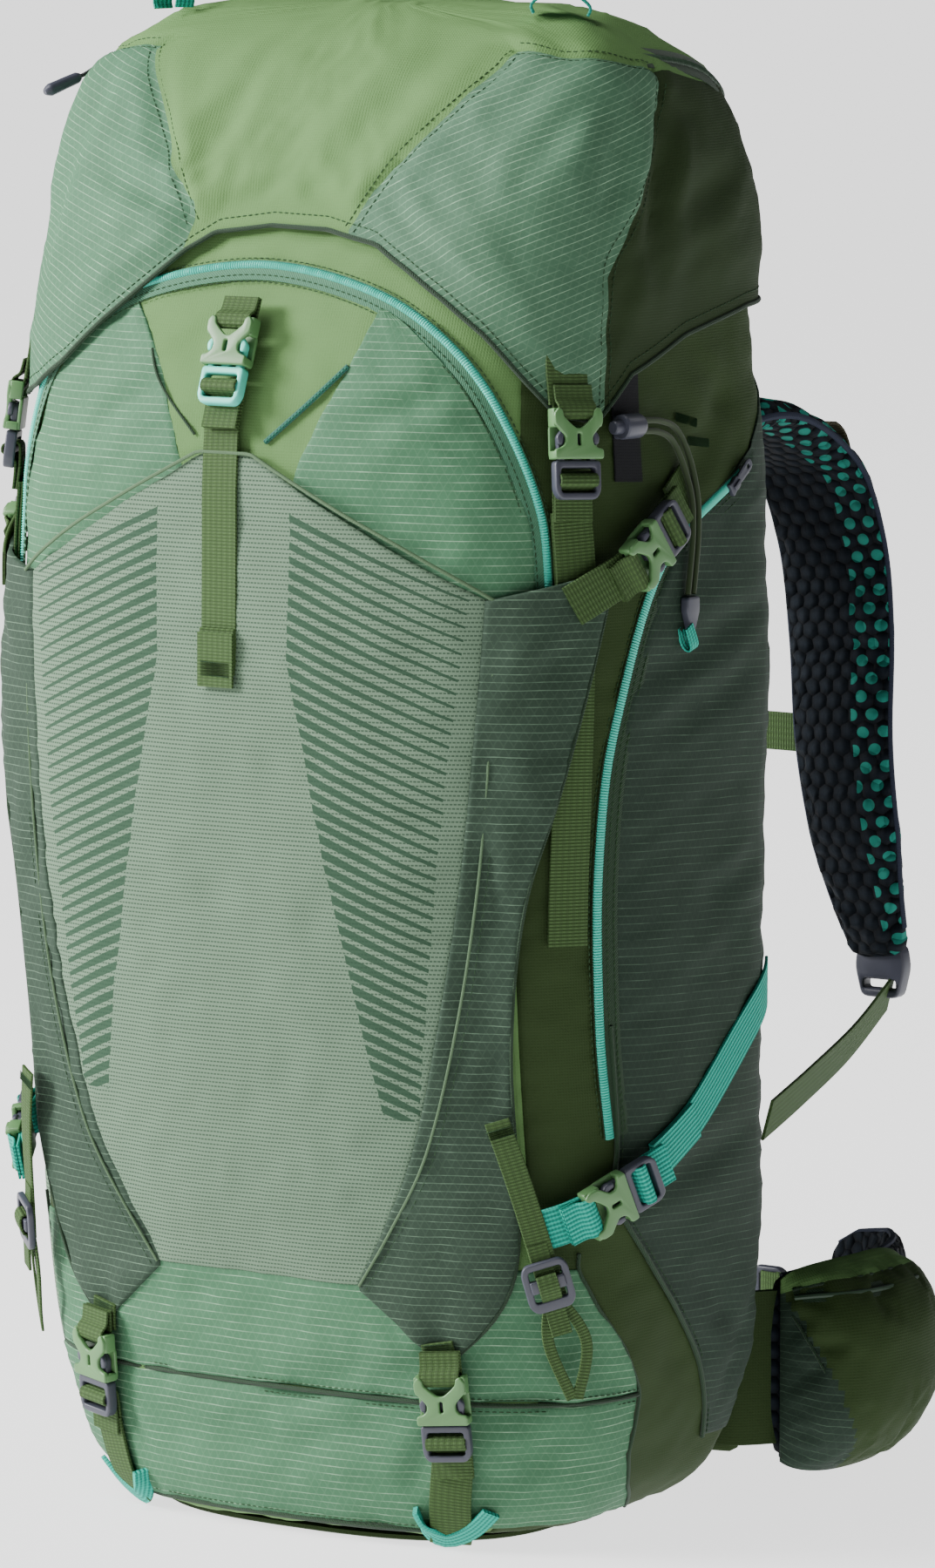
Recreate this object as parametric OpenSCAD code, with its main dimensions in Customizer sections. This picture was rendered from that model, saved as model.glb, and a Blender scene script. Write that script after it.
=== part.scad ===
// Hiking backpack: a framed bag with a floating lid, a stretch front pocket, a padded harness and a hip belt.
// Millimetres, +Z up. The origin is the middle of the face that the pack stands on; the pocket side faces -Y,
// the harness side +Y, and right means +X. Soft parts are plain closed sheets laid on one bag surface.

/* [Bag] */
// Height from the floor to the crown of the lid
pack_h = 738; // [700:1:776]
// Width of the filled bag at its widest ring
bag_w = 356; // [338:1:374]
// Depth of the filled bag at its deepest ring
bag_d = 243; // [230:1:256]
// Thickness of the body panels, cloth and lining together
cloth_t = 2; // [1.5:0.1:2.5]

/* [Straps] */
// Width of the compression, lid and base webbings
web_w = 20; // [15:1:22]
// Thickness of every webbing
web_t = 1.6; // [1.2:0.1:2]
// Width of a padded shoulder strap
shoulder_w = 64; // [56:1:72]
// Thickness of a padded shoulder strap
shoulder_t = 15; // [10:1:18]

/* [Hip belt] */
// Height of a hip belt wing
wing_h = 96; // [84:1:104]
// Thickness of a hip belt wing
wing_t = 12; // [9:1:14]

/* [Frame] */
// Diameter of the alloy frame rod
rod_d = 5; // [4:0.5:6]
// Width of the frame between the rod's two legs
rod_w = 236; // [220:1:250]

/* [Hidden] */

// Stations of the bag from the base up: height, half width, front, back (at the default size)
STATIONS = [
    [0, 108, -78, 86], [8, 130, -90, 100], [30, 150, -96, 111], [80, 166, -101, 116],
    [130, 172, -106, 115], [200, 176, -118, 109], [300, 178, -128, 106], [400, 178, -132, 109],
    [500, 174, -131, 116], [550, 168, -125, 120], [600, 164, -107, 124], [640, 162, -86, 122],
    [675, 158, -68, 113], [700, 152, -52, 100], [720, 134, -34, 80], [733, 115, -14, 60], [738, 90, 4, 40]
];
LAST = len(STATIONS) - 1;
SIZE = [bag_w / 356, bag_d / 243, pack_h / 738];
// Squareness of the rings, front and back, by height
FRONT_N = [[500, 2.7], [620, 3], [700, 4]];
BACK_N = [[500, 6], [620, 5], [700, 4]];
// The ring's centre moves back where the front passes behind it
CENTRE_LEAD = 6;

function chord(i, k) = (STATIONS[i + 1][k] - STATIONS[i][k]) / (STATIONS[i + 1][0] - STATIONS[i][0]);
function calm(a, b) = a * b <= 0 ? 0 : 2 * a * b / (a + b);
SLOPES = [for (i = [0:LAST]) [for (k = [1:3])
    i == 0 ? chord(0, k) : i == LAST ? chord(LAST - 1, k) : calm(chord(i - 1, k), chord(i, k))]];

function blend(u, a, b, sa, sb, w) =
    (1 + 2 * u) * (1 - u) * (1 - u) * a + u * (1 - u) * (1 - u) * w * sa
    + u * u * (3 - 2 * u) * b + u * u * (u - 1) * w * sb;
// Half width, front, back, centre and both exponents of the ring at height z, at the default size
function ring(z) =
    let (h = min(max(z, 0), STATIONS[LAST][0]),
         i = min(LAST - 1, max([for (j = [0:LAST]) if (STATIONS[j][0] <= h) j])),
         s = STATIONS[i], e = STATIONS[i + 1], w = e[0] - s[0], u = (h - s[0]) / w,
         p = [for (k = [1:3]) blend(u, s[k], e[k], SLOPES[i][k - 1], SLOPES[i + 1][k - 1], w)],
         c = max(0, p[1] + CENTRE_LEAD))
    [p[0], p[1], p[2], c, lookup(h, FRONT_N), lookup(h, BACK_N)];

// How far out a default-size point lies: 1 on the bag's surface
function reach(q) =
    let (r = ring(q[2]), y = q[1] - r[3], n = y < 0 ? r[4] : r[5], h = y < 0 ? r[3] - r[1] : r[2] - r[3])
    pow(abs(q[0]) / r[0], n) + pow(abs(y) / h, n);
// Surface point at height z in direction a, in degrees about the ring's centre: -90 is the front, 90 the back
function bag_at(z, a) =
    let (r = ring(z), n = sin(a) < 0 ? r[4] : r[5], h = sin(a) < 0 ? r[3] - r[1] : r[2] - r[3],
         l = pow(pow(abs(cos(a)) / r[0], n) + pow(abs(sin(a)) / h, n), -1 / n))
    [l * cos(a), r[3] + l * sin(a), z];
function unit(v) = v / norm(v);
function bag_normal(q) =
    let (e = 0.5)
    unit([reach(q + [e, 0, 0]) - reach(q - [e, 0, 0]),
          reach(q + [0, e, 0]) - reach(q - [0, e, 0]),
          reach(q + [0, 0, e]) - reach(q - [0, 0, e])]);
function sized(q) = [q[0] * SIZE[0], q[1] * SIZE[1], q[2] * SIZE[2]];
// Direction of a point about the centre of its ring
function angle_of(q) = atan2(q[1] - ring(q[2])[3], q[0]);
// Surface point nearest to a hand-placed point, lifted by d
function lifted(q, d) = let (s = bag_at(q[2], angle_of(q))) sized(s) + bag_normal(s) * d;
// Direction on the front at a given x, for sheets bounded by straight seams
function front_angle(z, x) =
    let (r = ring(z), h = r[3] - r[1], u = min(abs(x) / r[0], 0.999))
    atan2(-h * pow(1 - pow(u, r[4]), 1 / r[4]), x);
function flip(q) = [-q[0], q[1], q[2]];
function flips(path) = [for (q = path) flip(q)];

// Smooth curve through hand-placed points, n steps a span
function smooth(p, n) =
    let (m = len(p) - 1)
    [for (i = [0:m - 1], k = [0:n - 1])
        let (u = k / n, a = p[max(i - 1, 0)], b = p[i], c = p[i + 1], d = p[min(i + 2, m)])
        0.5 * (2 * b + (c - a) * u + (2 * a - 5 * b + 4 * c - d) * u * u
            + (3 * b - a - 3 * c + d) * u * u * u),
     p[m]];

// Two skins of points, rows by columns, closed into one solid
function quad(a, b, c, d) = [[a, b, c], [a, c, d]];
module slab(outer, inner, closed = false, capped = false) {
    nr = len(outer);
    nc = len(outer[0]);
    size = nr * nc;
    spans = closed ? nc : nc - 1;
    points = concat([for (r = outer, q = r) q], [for (r = inner, q = r) q],
        capped ? [mean(outer[nr - 1]), mean(inner[nr - 1])] : []);
    faces = [
        for (i = [0:nr - 2], j = [0:spans - 1])
            let (a = i * nc + j, b = i * nc + (j + 1) % nc, c = b + nc, d = a + nc)
            each concat(quad(a, d, c, b), quad(a + size, b + size, c + size, d + size)),
        for (j = [0:spans - 1])
            let (a = j, b = (j + 1) % nc)
            each quad(a, b, b + size, a + size),
        for (j = [0:spans - 1])
            let (d = (nr - 1) * nc + j, c = (nr - 1) * nc + (j + 1) % nc)
            each capped
                ? [[d, 2 * size, c], [d + size, c + size, 2 * size + 1]]
                : quad(c, d, d + size, c + size),
        if (!closed)
            for (i = [0:nr - 2])
                let (a = i * nc, d = a + nc, b = a + nc - 1, c = b + nc)
                each concat(quad(d, a, a + size, d + size), quad(b, c, c + size, b + size))
    ];
    polyhedron(points, faces, convexity = 8);
}
function mean(list) = [for (k = [0:2]) sum([for (q = list) q[k]]) / len(list)];
function sum(v, i = 0) = i == len(v) ? 0 : v[i] + sum(v, i + 1);

// A sheet on the bag: rows are [height, first angle, last angle], and dip sinks a place towards the inside
module sheet(rows, cols, low, high, dip = function (q) 0) {
    skin = function (d) [for (r = rows) [for (j = [0:cols])
        let (q = bag_at(r[0], r[1] + (r[2] - r[1]) * j / cols)) sized(q) + bag_normal(q) * (d - dip(q))]];
    slab(skin(high), skin(low));
}
function ramp(ends, u) = ends[0] + (ends[1] - ends[0]) * u;
function steps(a, b, n) = [for (i = [0:n]) ramp([a, b], i / n)];
function mirror_rows(rows) = [for (r = rows) [r[0], 180 - r[2], 180 - r[1]]];

// A strip of webbing or tape lying on the bag along a hand-placed path
module strip(path, width, low, thick, n = 4) {
    way = smooth(path, n);
    m = len(way) - 1;
    at = [for (q = way) lifted(q, 0)];
    out = [for (q = way) bag_normal(bag_at(q[2], angle_of(q)))];
    side = [for (i = [0:m]) unit(cross(out[i], at[min(i + 1, m)] - at[max(i - 1, 0)]))];
    half = width / 2;
    row = function (i, d) [at[i] + out[i] * d - side[i] * half, at[i] + out[i] * d + side[i] * half];
    slab([for (i = [0:m]) row(i, low + thick)], [for (i = [0:m]) row(i, low)]);
}

// A strip through free space; across is the direction of its width
module band(path, across, width, thick, n = 4) {
    way = smooth(path, n);
    m = len(way) - 1;
    side = [for (i = [0:m]) let (t = way[min(i + 1, m)] - way[max(i - 1, 0)])
        unit(across - t * (across * t) / (t * t))];
    out = [for (i = [0:m]) unit(cross(way[min(i + 1, m)] - way[max(i - 1, 0)], side[i]))];
    half = width / 2;
    row = function (i, d) [way[i] + out[i] * d - side[i] * half, way[i] + out[i] * d + side[i] * half];
    slab([for (i = [0:m]) row(i, thick / 2)], [for (i = [0:m]) row(i, -thick / 2)]);
}

// A round or flattened tube along a path, with its width along a fixed direction
module tube(path, wide, deep, across, sides, n) {
    way = smooth(path, n);
    m = len(way) - 1;
    rings = [for (i = [0:m])
        let (t = way[min(i + 1, m)] - way[max(i - 1, 0)], s = unit(across - t * (across * t) / (t * t)),
             o = unit(cross(t, s)))
        [for (k = [0:sides - 1]) let (a = 360 * (k + 0.5) / sides)
            way[i] + s * cos(a) * wide / 2 + o * sin(a) * deep / 2]];
    faces = [
        for (i = [0:m - 1], k = [0:sides - 1])
            let (a = i * sides + k, b = i * sides + (k + 1) % sides)
            each quad(a, b, b + sides, a + sides),
        [for (k = [sides - 1:-1:0]) k],
        [for (k = [0:sides - 1]) m * sides + k]
    ];
    polyhedron([for (r = rings, q = r) q], faces, convexity = 8);
}

// Stands its children on the bag at a place, local X towards a second place and local Z outwards
module seat(place, towards, d = 0) {
    at = lifted(place, d);
    z = bag_normal(bag_at(place[2], angle_of(place)));
    run = lifted(towards, d) - at;
    x = unit(run - z * (run * z));
    y = cross(z, x);
    multmatrix([for (k = [0:3]) k == 3 ? [0, 0, 0, 1] : [x[k], y[k], z[k], at[k]]])
        children();
}

// Hand-placed points of the straps and trims, at the default size, right side where there are two
LID_EDGE_RIGHT = [[0, 635], [20, 634], [34, 628], [41, 616], [47, 603], [53, 587], [58, 568], [63, 551],
    [70, 547], [78, 568], [94, 584], [114, 595], [140, 600], [180, 600]];
LID_EDGE_LEFT = [[0, 635], [19, 631], [26, 622], [32, 607], [39, 589], [46, 568], [54, 555], [62, 549],
    [70, 552], [78, 568], [94, 584], [114, 595], [140, 600], [180, 600]];
PANEL_TOP = 648;
SEAM_X = 142;
BACK_SEAM = 38;
POCKET_HALF = [[131, 57], [160, 74], [200, 93], [260, 108], [330, 120], [400, 127], [465, 131], [528, 12]];
FRONT_ZIP = [[-151, -85, 380], [-153, -85, 477], [-147, -89, 518], [-124, -98, 566], [-91, -102, 596],
    [-47, -98, 612], [0, -98, 618], [47, -98, 612], [91, -102, 596], [124, -98, 566], [147, -89, 518],
    [153, -85, 477], [151, -85, 380]];
SIDE_ZIP = [[172, 56, 515], [175, -19, 477], [171, -54, 405], [169, -64, 335], [169, -62, 260],
    [170, -54, 205]];
LID_ZIP = [[140, 5, 712], [150, 50, 706], [140, 92, 690], [70, 106, 690], [0, 107, 690],
    [-70, 106, 690], [-140, 92, 690], [-150, 50, 706], [-140, 5, 712]];
POCKET_WEB = [[-3, -112, 556], [-1, -130, 500], [-1, -132, 425]];
LID_WEB = [[150, -70, 576], [154, -71, 558]];
LID_LOWER_WEB = [[158, -75, 509], [162, -75, 440], [162, -78, 370], [160, -78, 300]];
UPPER_WEB_FRONT = [[158, -74, 464], [168, -57, 473]];
UPPER_WEB_BACK = [[174, -13, 503], [171, 30, 534], [166, 70, 556]];
LOWER_WEB_FRONT = [[142, -88, 160], [152, -74, 167]];
LOWER_WEB_BACK = [[174, -28, 190], [176, 9, 209], [177, 55, 246], [172, 90, 268]];
BASE_WEB_TOP = [[96, -93, 108], [97, -93, 96]];
BASE_WEB_LOW = [[98, -86, 46], [98, -84, 24], [97, -78, 9]];
TOOL_LOOP = [[132, -96, 219], [140, -84, 176], [147, -72, 132], [152, -62, 84]];
BASE_LOOP = [[76, -88, 24], [88, -82, 11], [106, -76, 11], [118, -70, 24]];

// Places of the buckles: seat, towards, lift
LID_BUCKLE = [[156, -73, 534], [158, -75, 510], 4];
POCKET_BUCKLE = [[-1, -118, 572], [-1, -126, 545], 4];
UPPER_BUCKLE = [[171, -36, 488], [173, -10, 506], 6];
LOWER_BUCKLE = [[165, -52, 179], [173, -22, 194], 6];
BASE_BUCKLE = [[103, -92, 72], [105, -90, 50], 4];

// Centre line of the right shoulder strap, from the yoke over the shoulder to its tip
STRAP_LINE = [[52, 142, 462], [53, 155, 500], [56, 196, 524], [62, 246, 526], [70, 288, 500], [77, 304, 458],
    [83, 304, 410], [88, 298, 360], [93, 298, 320], [97, 305, 280], [101, 316, 242]];
LIFTER = [[66, 128, 564], [68, 170, 560], [70, 222, 543]];
HARNESS_WEB = [[103, 322, 222], [118, 258, 206], [138, 180, 196], [152, 118, 188]];
LASH_LOOP = [[102, -19, 737], [101, -19.5, 743], [106, -16, 749], [113, -12, 751], [120, -8, 748],
    [125, -5, 741], [124, -5.5, 735.3]];
LASH_ACROSS = [-0.53, 0.85, 0];
HAUL_LOOP = [[-42, 127, 578], [-40, 142, 578], [-26, 152, 579], [0, 155, 579], [26, 152, 579], [40, 142, 578],
    [42, 127, 578]];
STERNUM_Z = 356;
STERNUM_Y = 311;
CORD_OUTER = [[174.5, -36, 547], [175.5, -22, 546], [176, -8, 541], [177, 2, 527], [178.5, 7, 508],
    [179, 7, 490], [179.5, 4, 474], [180, 1, 462]];
CORD_INNER = [[174.5, -36, 542], [175.5, -24, 541], [176, -12, 536], [177, -3, 523], [178.5, 2, 507],
    [179, 2, 490], [179.5, -1, 474], [180, -4, 462]];
CORD_D = 3;

// Hip belt in plan: the middle line of the right wing from the hinge to its tip
WING_LINE = [[136, 147], [148, 170], [152, 200], [149, 236], [136, 270], [110, 296], [78, 306]];
WING_BASE = 9;
ROOT_LINE = [[-128, 138], [-100, 131.5], [-60, 131], [0, 131], [60, 131], [100, 131.5], [128, 138]];
ROOT_T = 7;
HIP_POCKET_OUT = 27;
BELT_Y = 316;
BELT_Z = 58;
BELT_GAP = 4;

FABRIC = [0.38, 0.53, 0.41];
PLAIN = [0.27, 0.37, 0.2];
SAGE = [0.58, 0.66, 0.54];
TEAL = [0.35, 0.8, 0.7];
OLIVE = [0.31, 0.42, 0.25];
CHARCOAL = [0.28, 0.3, 0.35];
BUCKLE_GREEN = [0.36, 0.52, 0.33];
NAVY = [0.1, 0.13, 0.2];

// Frame -----------------------------------------------------------------------------------------------
FRAME_Y = 88;
ROD_FOOT = 30;
ROD_TOP = 570;
ROD_BEND = 45;

module frame_rod() {
    leg = rod_w / 2;
    color("silver") translate([0, FRAME_Y, 0]) {
        union() {
            for (s = [-1, 1])
                translate([s * leg, 0, ROD_FOOT])
                    cylinder(d = rod_d, h = ROD_TOP - ROD_BEND - ROD_FOOT, $fn = 24);
            for (s = [0, 1])
                mirror([s, 0, 0]) translate([leg - ROD_BEND, 0, ROD_TOP - ROD_BEND]) rotate([90, 0, 0])
                    rotate_extrude(angle = 90, $fn = 48) translate([ROD_BEND, 0]) circle(d = rod_d, $fn = 24);
            translate([-leg + ROD_BEND, 0, ROD_TOP]) rotate([0, 90, 0])
                cylinder(d = rod_d, h = rod_w - 2 * ROD_BEND, $fn = 24);
        }
    }
}

// The stiffening sheet stands behind the rod, with its corners cut off
SHEET_T = 1.5;
SHEET_GAP = 1;
SHEET_HALF = [[100, 40], [112, 60], [112, 520], [90, 545]];
module frame_sheet() {
    left = [for (i = [len(SHEET_HALF) - 1:-1:0]) [-SHEET_HALF[i][0], SHEET_HALF[i][1]]];
    color("dimgray") translate([0, FRAME_Y + rod_d / 2 + SHEET_GAP + SHEET_T, 0]) rotate([90, 0, 0])
        linear_extrude(SHEET_T) polygon(concat(SHEET_HALF, left));
}

// Bag body --------------------------------------------------------------------------------------------
BODY_Z = [3.5, 8, 16, 30, 55, 80, 105, 130, 165, 200, 240, 280, 320, 360, 400, 440, 480, 515, 550, 575, 600,
    620, 634, PANEL_TOP];
PANEL_OUT = -1.5;

// The front panel sinks behind the stretch pocket to leave the pocket its room
POCKET_DIP = 14;
function pocket_dip(q) =
    let (u = min(abs(q[0]) / 118, 1), v = min(max((q[2] - 140) / 110, 0), 1),
         w = min(max((535 - q[2]) / 90, 0), 1))
    POCKET_DIP * (1 - u * u * u) * (3 * v * v - 2 * v * v * v) * (3 * w * w - 2 * w * w * w);

function seam_angle(z) = front_angle(z, min(SEAM_X, ring(z)[0] * 0.84));

module front_panel() {
    rows = [for (z = BODY_Z) [z, 180 - 360 - seam_angle(z) + 0.3, seam_angle(z) - 0.3]];
    color(FABRIC) sheet(rows, 18, PANEL_OUT - cloth_t, PANEL_OUT, function (q) pocket_dip(q));
}
SIDE_ROWS = [for (z = BODY_Z) [z, seam_angle(z) + 0.3, BACK_SEAM]];
module side_panel_right() color(PLAIN) sheet(SIDE_ROWS, 9, PANEL_OUT - cloth_t, PANEL_OUT);
module side_panel_left() color(PLAIN) sheet(mirror_rows(SIDE_ROWS), 9, PANEL_OUT - cloth_t, PANEL_OUT);

module back_panel() {
    rows = [for (z = BODY_Z) [z, BACK_SEAM + 0.4, 180 - BACK_SEAM - 0.4]];
    color(PLAIN) sheet(rows, 10, PANEL_OUT - cloth_t, PANEL_OUT);
}

module base_panel() {
    color(PLAIN) linear_extrude(2.5)
        polygon([for (a = [0:6:354]) let (q = sized(bag_at(0, a))) [q[0], q[1]]]);
}

// The collar rises inside the lid and gathers to a round mouth
MOUTH_R = 60;
MOUTH_C = [0, 20, 662];
GATHER = [[604, -6, 0], [622, -9, 0], [640, -13, 0], [648, -16, 0.3], [656, -18, 0.65], [662, -20, 1]];
module collar() {
    skin = function (t) [for (l = GATHER) [for (a = [0:8:352])
        let (q = bag_at(l[0], a), edge = sized(q) + bag_normal(q) * (l[1] - t),
             mouth = MOUTH_C + [MOUTH_R * cos(a), MOUTH_R * sin(a), -t])
        edge + (mouth - edge) * l[2]]];
    color(OLIVE) slab(skin(0), skin(1.5), closed = true);
}
DRAWCORD_Z = MOUTH_C[2] + 2.2;
module collar_drawcord() {
    color("black") translate([0, MOUTH_C[1], DRAWCORD_Z])
        rotate_extrude($fn = 64) translate([MOUTH_R + 2, 0]) circle(d = 3, $fn = 16);
}
module collar_cord_lock() {
    color(CHARCOAL) translate([0, MOUTH_C[1] - MOUTH_R - 2, DRAWCORD_Z])
        difference() {
            translate([-5, -7, -1.6]) cube([10, 14, 9]);
            rotate([0, 90, 0]) cylinder(d = 4.4, h = 40, center = true, $fn = 32);
        }
}

// Pockets ---------------------------------------------------------------------------------------------
POCKET_OUT = 1.4;
POCKET_T = 1.4;
module stretch_pocket() {
    levels = [131, 145, 165, 190, 220, 255, 290, 325, 360, 395, 430, 465, 486, 507, 528];
    rows = [for (z = levels) let (x = lookup(z, POCKET_HALF)) [z, front_angle(z, -x), front_angle(z, x)]];
    color(SAGE) sheet(rows, 14, POCKET_OUT - POCKET_T, POCKET_OUT);
}

// Outer and inner edges of the right wing, as angles by height
WING_OUTER = [for (q = [[104, -92, 96], [134, -83, 142], [139, -95, 249], [145, -94, 320], [157, -83, 378],
    [167, -61, 478]]) [q[2], angle_of(q)]];
WING_INNER = [[96, 97], [131, 57], [160, 74], [200, 93], [260, 108], [330, 120], [400, 127], [466, 131],
    [478, 150]];
WING_LIFT = 6;
WING_ROWS = [for (z = [96, 108, 120, 131, 142, 165, 190, 220, 255, 290, 325, 360, 395, 430, 466, 478])
    [z, front_angle(z, lookup(z, WING_INNER)) + 0.4, lookup(z, WING_OUTER)]];
// The wing stands off the bag more and more towards its free edge
function wing_rise(q) =
    POCKET_OUT + WING_LIFT * min(max((abs(q[0]) - 130) / 20, 0), 1) * min(max((q[2] - 130) / 60, 0), 1);
module wing(rows) {
    n = 7;
    skin = function (t) [for (r = rows) [for (j = [0:n])
        let (q = bag_at(r[0], r[1] + (r[2] - r[1]) * j / n)) sized(q) + bag_normal(q) * (wing_rise(q) - t)]];
    slab(skin(0), skin(POCKET_T));
}
module pocket_wing_right() color(FABRIC) wing(WING_ROWS);
module pocket_wing_left() color(FABRIC) wing(mirror_rows(WING_ROWS));

// The bottle pocket on the left side stands off the panel to leave room for a bottle. Its mouth slants down
// towards the front, under the compression strap.
BOTTLE_ROOM = 12;
BOTTLE_T = 1.2;
BOTTLE_FOOT = 30;
BOTTLE_ANGLES = [146, 196];
BOTTLE_TOPS = [225, 158];
module bottle_pocket() {
    rows = 8;
    cols = 10;
    skin = function (t) [for (i = [0:rows]) [for (j = [0:cols])
        let (a = ramp(BOTTLE_ANGLES, j / cols), top = ramp(BOTTLE_TOPS, j / cols),
             z = ramp([BOTTLE_FOOT, top], i / rows), q = bag_at(z, a), u = 2 * j / cols - 1,
             w = (1 - pow(u, 4)) * min((z - BOTTLE_FOOT) / 40, 1))
        sized(q) + bag_normal(q) * (BOTTLE_T + BOTTLE_ROOM * w - t)]];
    color(SAGE) slab(skin(0), skin(BOTTLE_T));
}

// Zips ------------------------------------------------------------------------------------------------
ZIP_W = 13;
ZIP_T = 1;
module front_zip() color(TEAL) strip(FRONT_ZIP, ZIP_W, PANEL_OUT + 0.4, ZIP_T, 3);
module side_zip() color(TEAL) strip(SIDE_ZIP, ZIP_W, PANEL_OUT + 0.4, ZIP_T, 5);
module lid_zip() color(PLAIN) strip(LID_ZIP, ZIP_W, LID_OUT + 0.4, ZIP_T, 4);

SLIDER = [9, 7, 3];
PULL = [16, 5, 1.4];
// The lid's slider rides higher, so that it stays clear of its curved zip over the whole run
SLIDER_LIFT = 0.6;
LID_SLIDER_LIFT = 3.2;
module slider() {
    translate([-SLIDER[0] / 2, -SLIDER[1] / 2, 0]) cube(SLIDER);
    difference() {
        translate([SLIDER[0] / 2 - 1, -PULL[1] / 2, 0.5]) cube(PULL);
        translate([SLIDER[0] / 2 + PULL[0] - 4, 0, -1]) cylinder(d = 2.4, h = 6, $fn = 24);
    }
}
FRONT_SLIDER = [[151.5, -85, 428], [151, -85, 400]];
SIDE_SLIDER = [[172, 46, 510], [170, 80, 530]];
LID_SLIDER = [[-142, 14, 711], [-150, -20, 690]];
module front_zip_slider() color(CHARCOAL) seat(FRONT_SLIDER[0], FRONT_SLIDER[1], SLIDER_LIFT) slider();
module side_zip_slider() color(CHARCOAL) seat(SIDE_SLIDER[0], SIDE_SLIDER[1], SLIDER_LIFT) slider();
module lid_zip_slider() {
    color(CHARCOAL) seat(LID_SLIDER[0], LID_SLIDER[1], LID_OUT + LID_SLIDER_LIFT) slider();
}

// Webbing ---------------------------------------------------------------------------------------------
WEB_LOW = 2.2;
WEB_THIN = 1.4;
module pair(path, width, low, n = 4) {
    strip(path, width, low, web_t, n);
    strip([for (i = [len(path) - 1:-1:0]) flip(path[i])], width, low, web_t, n);
}
TOOL_LIFT = 10.4;
TOOL_W = 15;
LOOP_W = 10;
module olive_webbings() {
    color(OLIVE) {
        strip(POCKET_WEB, web_w, WEB_LOW, web_t);
        pair(LID_LOWER_WEB, web_w, 0.3);
        pair(UPPER_WEB_FRONT, web_w, 8);
        pair(UPPER_WEB_BACK, web_w, 0.8);
        pair(BASE_WEB_TOP, web_w, 3);
        pair(BASE_WEB_LOW, web_w, 3.4);
        pair(TOOL_LOOP, TOOL_W, TOOL_LIFT);
    }
}
module teal_webbings() {
    color(TEAL) {
        pair(LOWER_WEB_FRONT, web_w, 7.6);
        pair(LOWER_WEB_BACK, web_w, 0.8);
        pair(BASE_LOOP, LOOP_W, -1);
    }
}

module ladder() {
    difference() {
        translate([-12, -11, 0]) cube([24, 22, 4]);
        for (x = [-8, 3])
            translate([x, -8.5, -1]) cube([5, 17, 6]);
    }
}
LADDER_AT = [[145, -75, 140], [149, -70, 118]];
module ladder_locks() {
    color(CHARCOAL) {
        seat(LADDER_AT[0], LADDER_AT[1], TOOL_LIFT + 2.2) ladder();
        seat(flip(LADDER_AT[0]), flip(LADDER_AT[1]), TOOL_LIFT + 2.2) ladder();
    }
}

// Buckles: local X is the way the male half pulls out, Z is away from the bag -------------------------
BUCKLE_W = 26;
BUCKLE_T = 9;
SLEEVE = 16;
module buckle_female() {
    half = BUCKLE_W / 2;
    translate([-SLEEVE + 4, -half, BUCKLE_T - 2.5]) cube([SLEEVE, BUCKLE_W, 2.5]);
    for (s = [-1, 1])
        translate([0, s * (half - 1.25) - 1.25, 0.5])
            difference() {
                translate([-SLEEVE + 4, 0, 0]) cube([SLEEVE, 2.5, BUCKLE_T - 3]);
                translate([-9, -1, 1.5]) cube([9, 5, BUCKLE_T]);
            }
    difference() {
        translate([-SLEEVE - 4, -half + 2, 0.5]) cube([8, BUCKLE_W - 4, BUCKLE_T - 0.5]);
        translate([-SLEEVE - 2, -half + 4, -1]) cube([3.2, BUCKLE_W - 8, BUCKLE_T + 4]);
    }
}
module buckle_male() {
    difference() {
        translate([5, -12, 1.5]) cube([18, 24, 5.5]);
        for (x = [8, 15.5])
            translate([x, -9.5, 0]) cube([4.5, 19, 9]);
    }
    translate([-9.5, -3, 2]) cube([15.5, 6, 3.5]);
    for (s = [-1, 1])
        translate([-9.5, s * 7.4 - 2, 1.6]) cube([15.5, 4, 4.2]);
}
module seated(place) seat(place[0], place[1], place[2]) children();
module seated_left(place) seat(flip(place[0]), flip(place[1]), place[2]) children();

module strap_buckle_females() {
    color(BUCKLE_GREEN) {
        seated(POCKET_BUCKLE) buckle_female();
        for (b = [UPPER_BUCKLE, LOWER_BUCKLE, BASE_BUCKLE]) {
            seated(b) buckle_female();
            seated_left(b) buckle_female();
        }
    }
}
module pocket_buckle_male() color(TEAL) seated(POCKET_BUCKLE) buckle_male();
module upper_buckle_male_right() color(CHARCOAL) seated(UPPER_BUCKLE) buckle_male();
module upper_buckle_male_left() color(CHARCOAL) seated_left(UPPER_BUCKLE) buckle_male();
module lower_buckle_male_right() color(CHARCOAL) seated(LOWER_BUCKLE) buckle_male();
module lower_buckle_male_left() color(CHARCOAL) seated_left(LOWER_BUCKLE) buckle_male();
module base_buckle_male_right() color(CHARCOAL) seated(BASE_BUCKLE) buckle_male();
module base_buckle_male_left() color(CHARCOAL) seated_left(BASE_BUCKLE) buckle_male();
module lid_buckle_male_right() color(CHARCOAL) seated(LID_BUCKLE) buckle_male();
module lid_buckle_male_left() color(CHARCOAL) seated_left(LID_BUCKLE) buckle_male();
module lid_buckle_females() {
    color(BUCKLE_GREEN) {
        seated(LID_BUCKLE) buckle_female();
        seated_left(LID_BUCKLE) buckle_female();
    }
}

// Lid -------------------------------------------------------------------------------------------------
LID_OUT = 3.2;
LID_T = 1.4;
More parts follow.
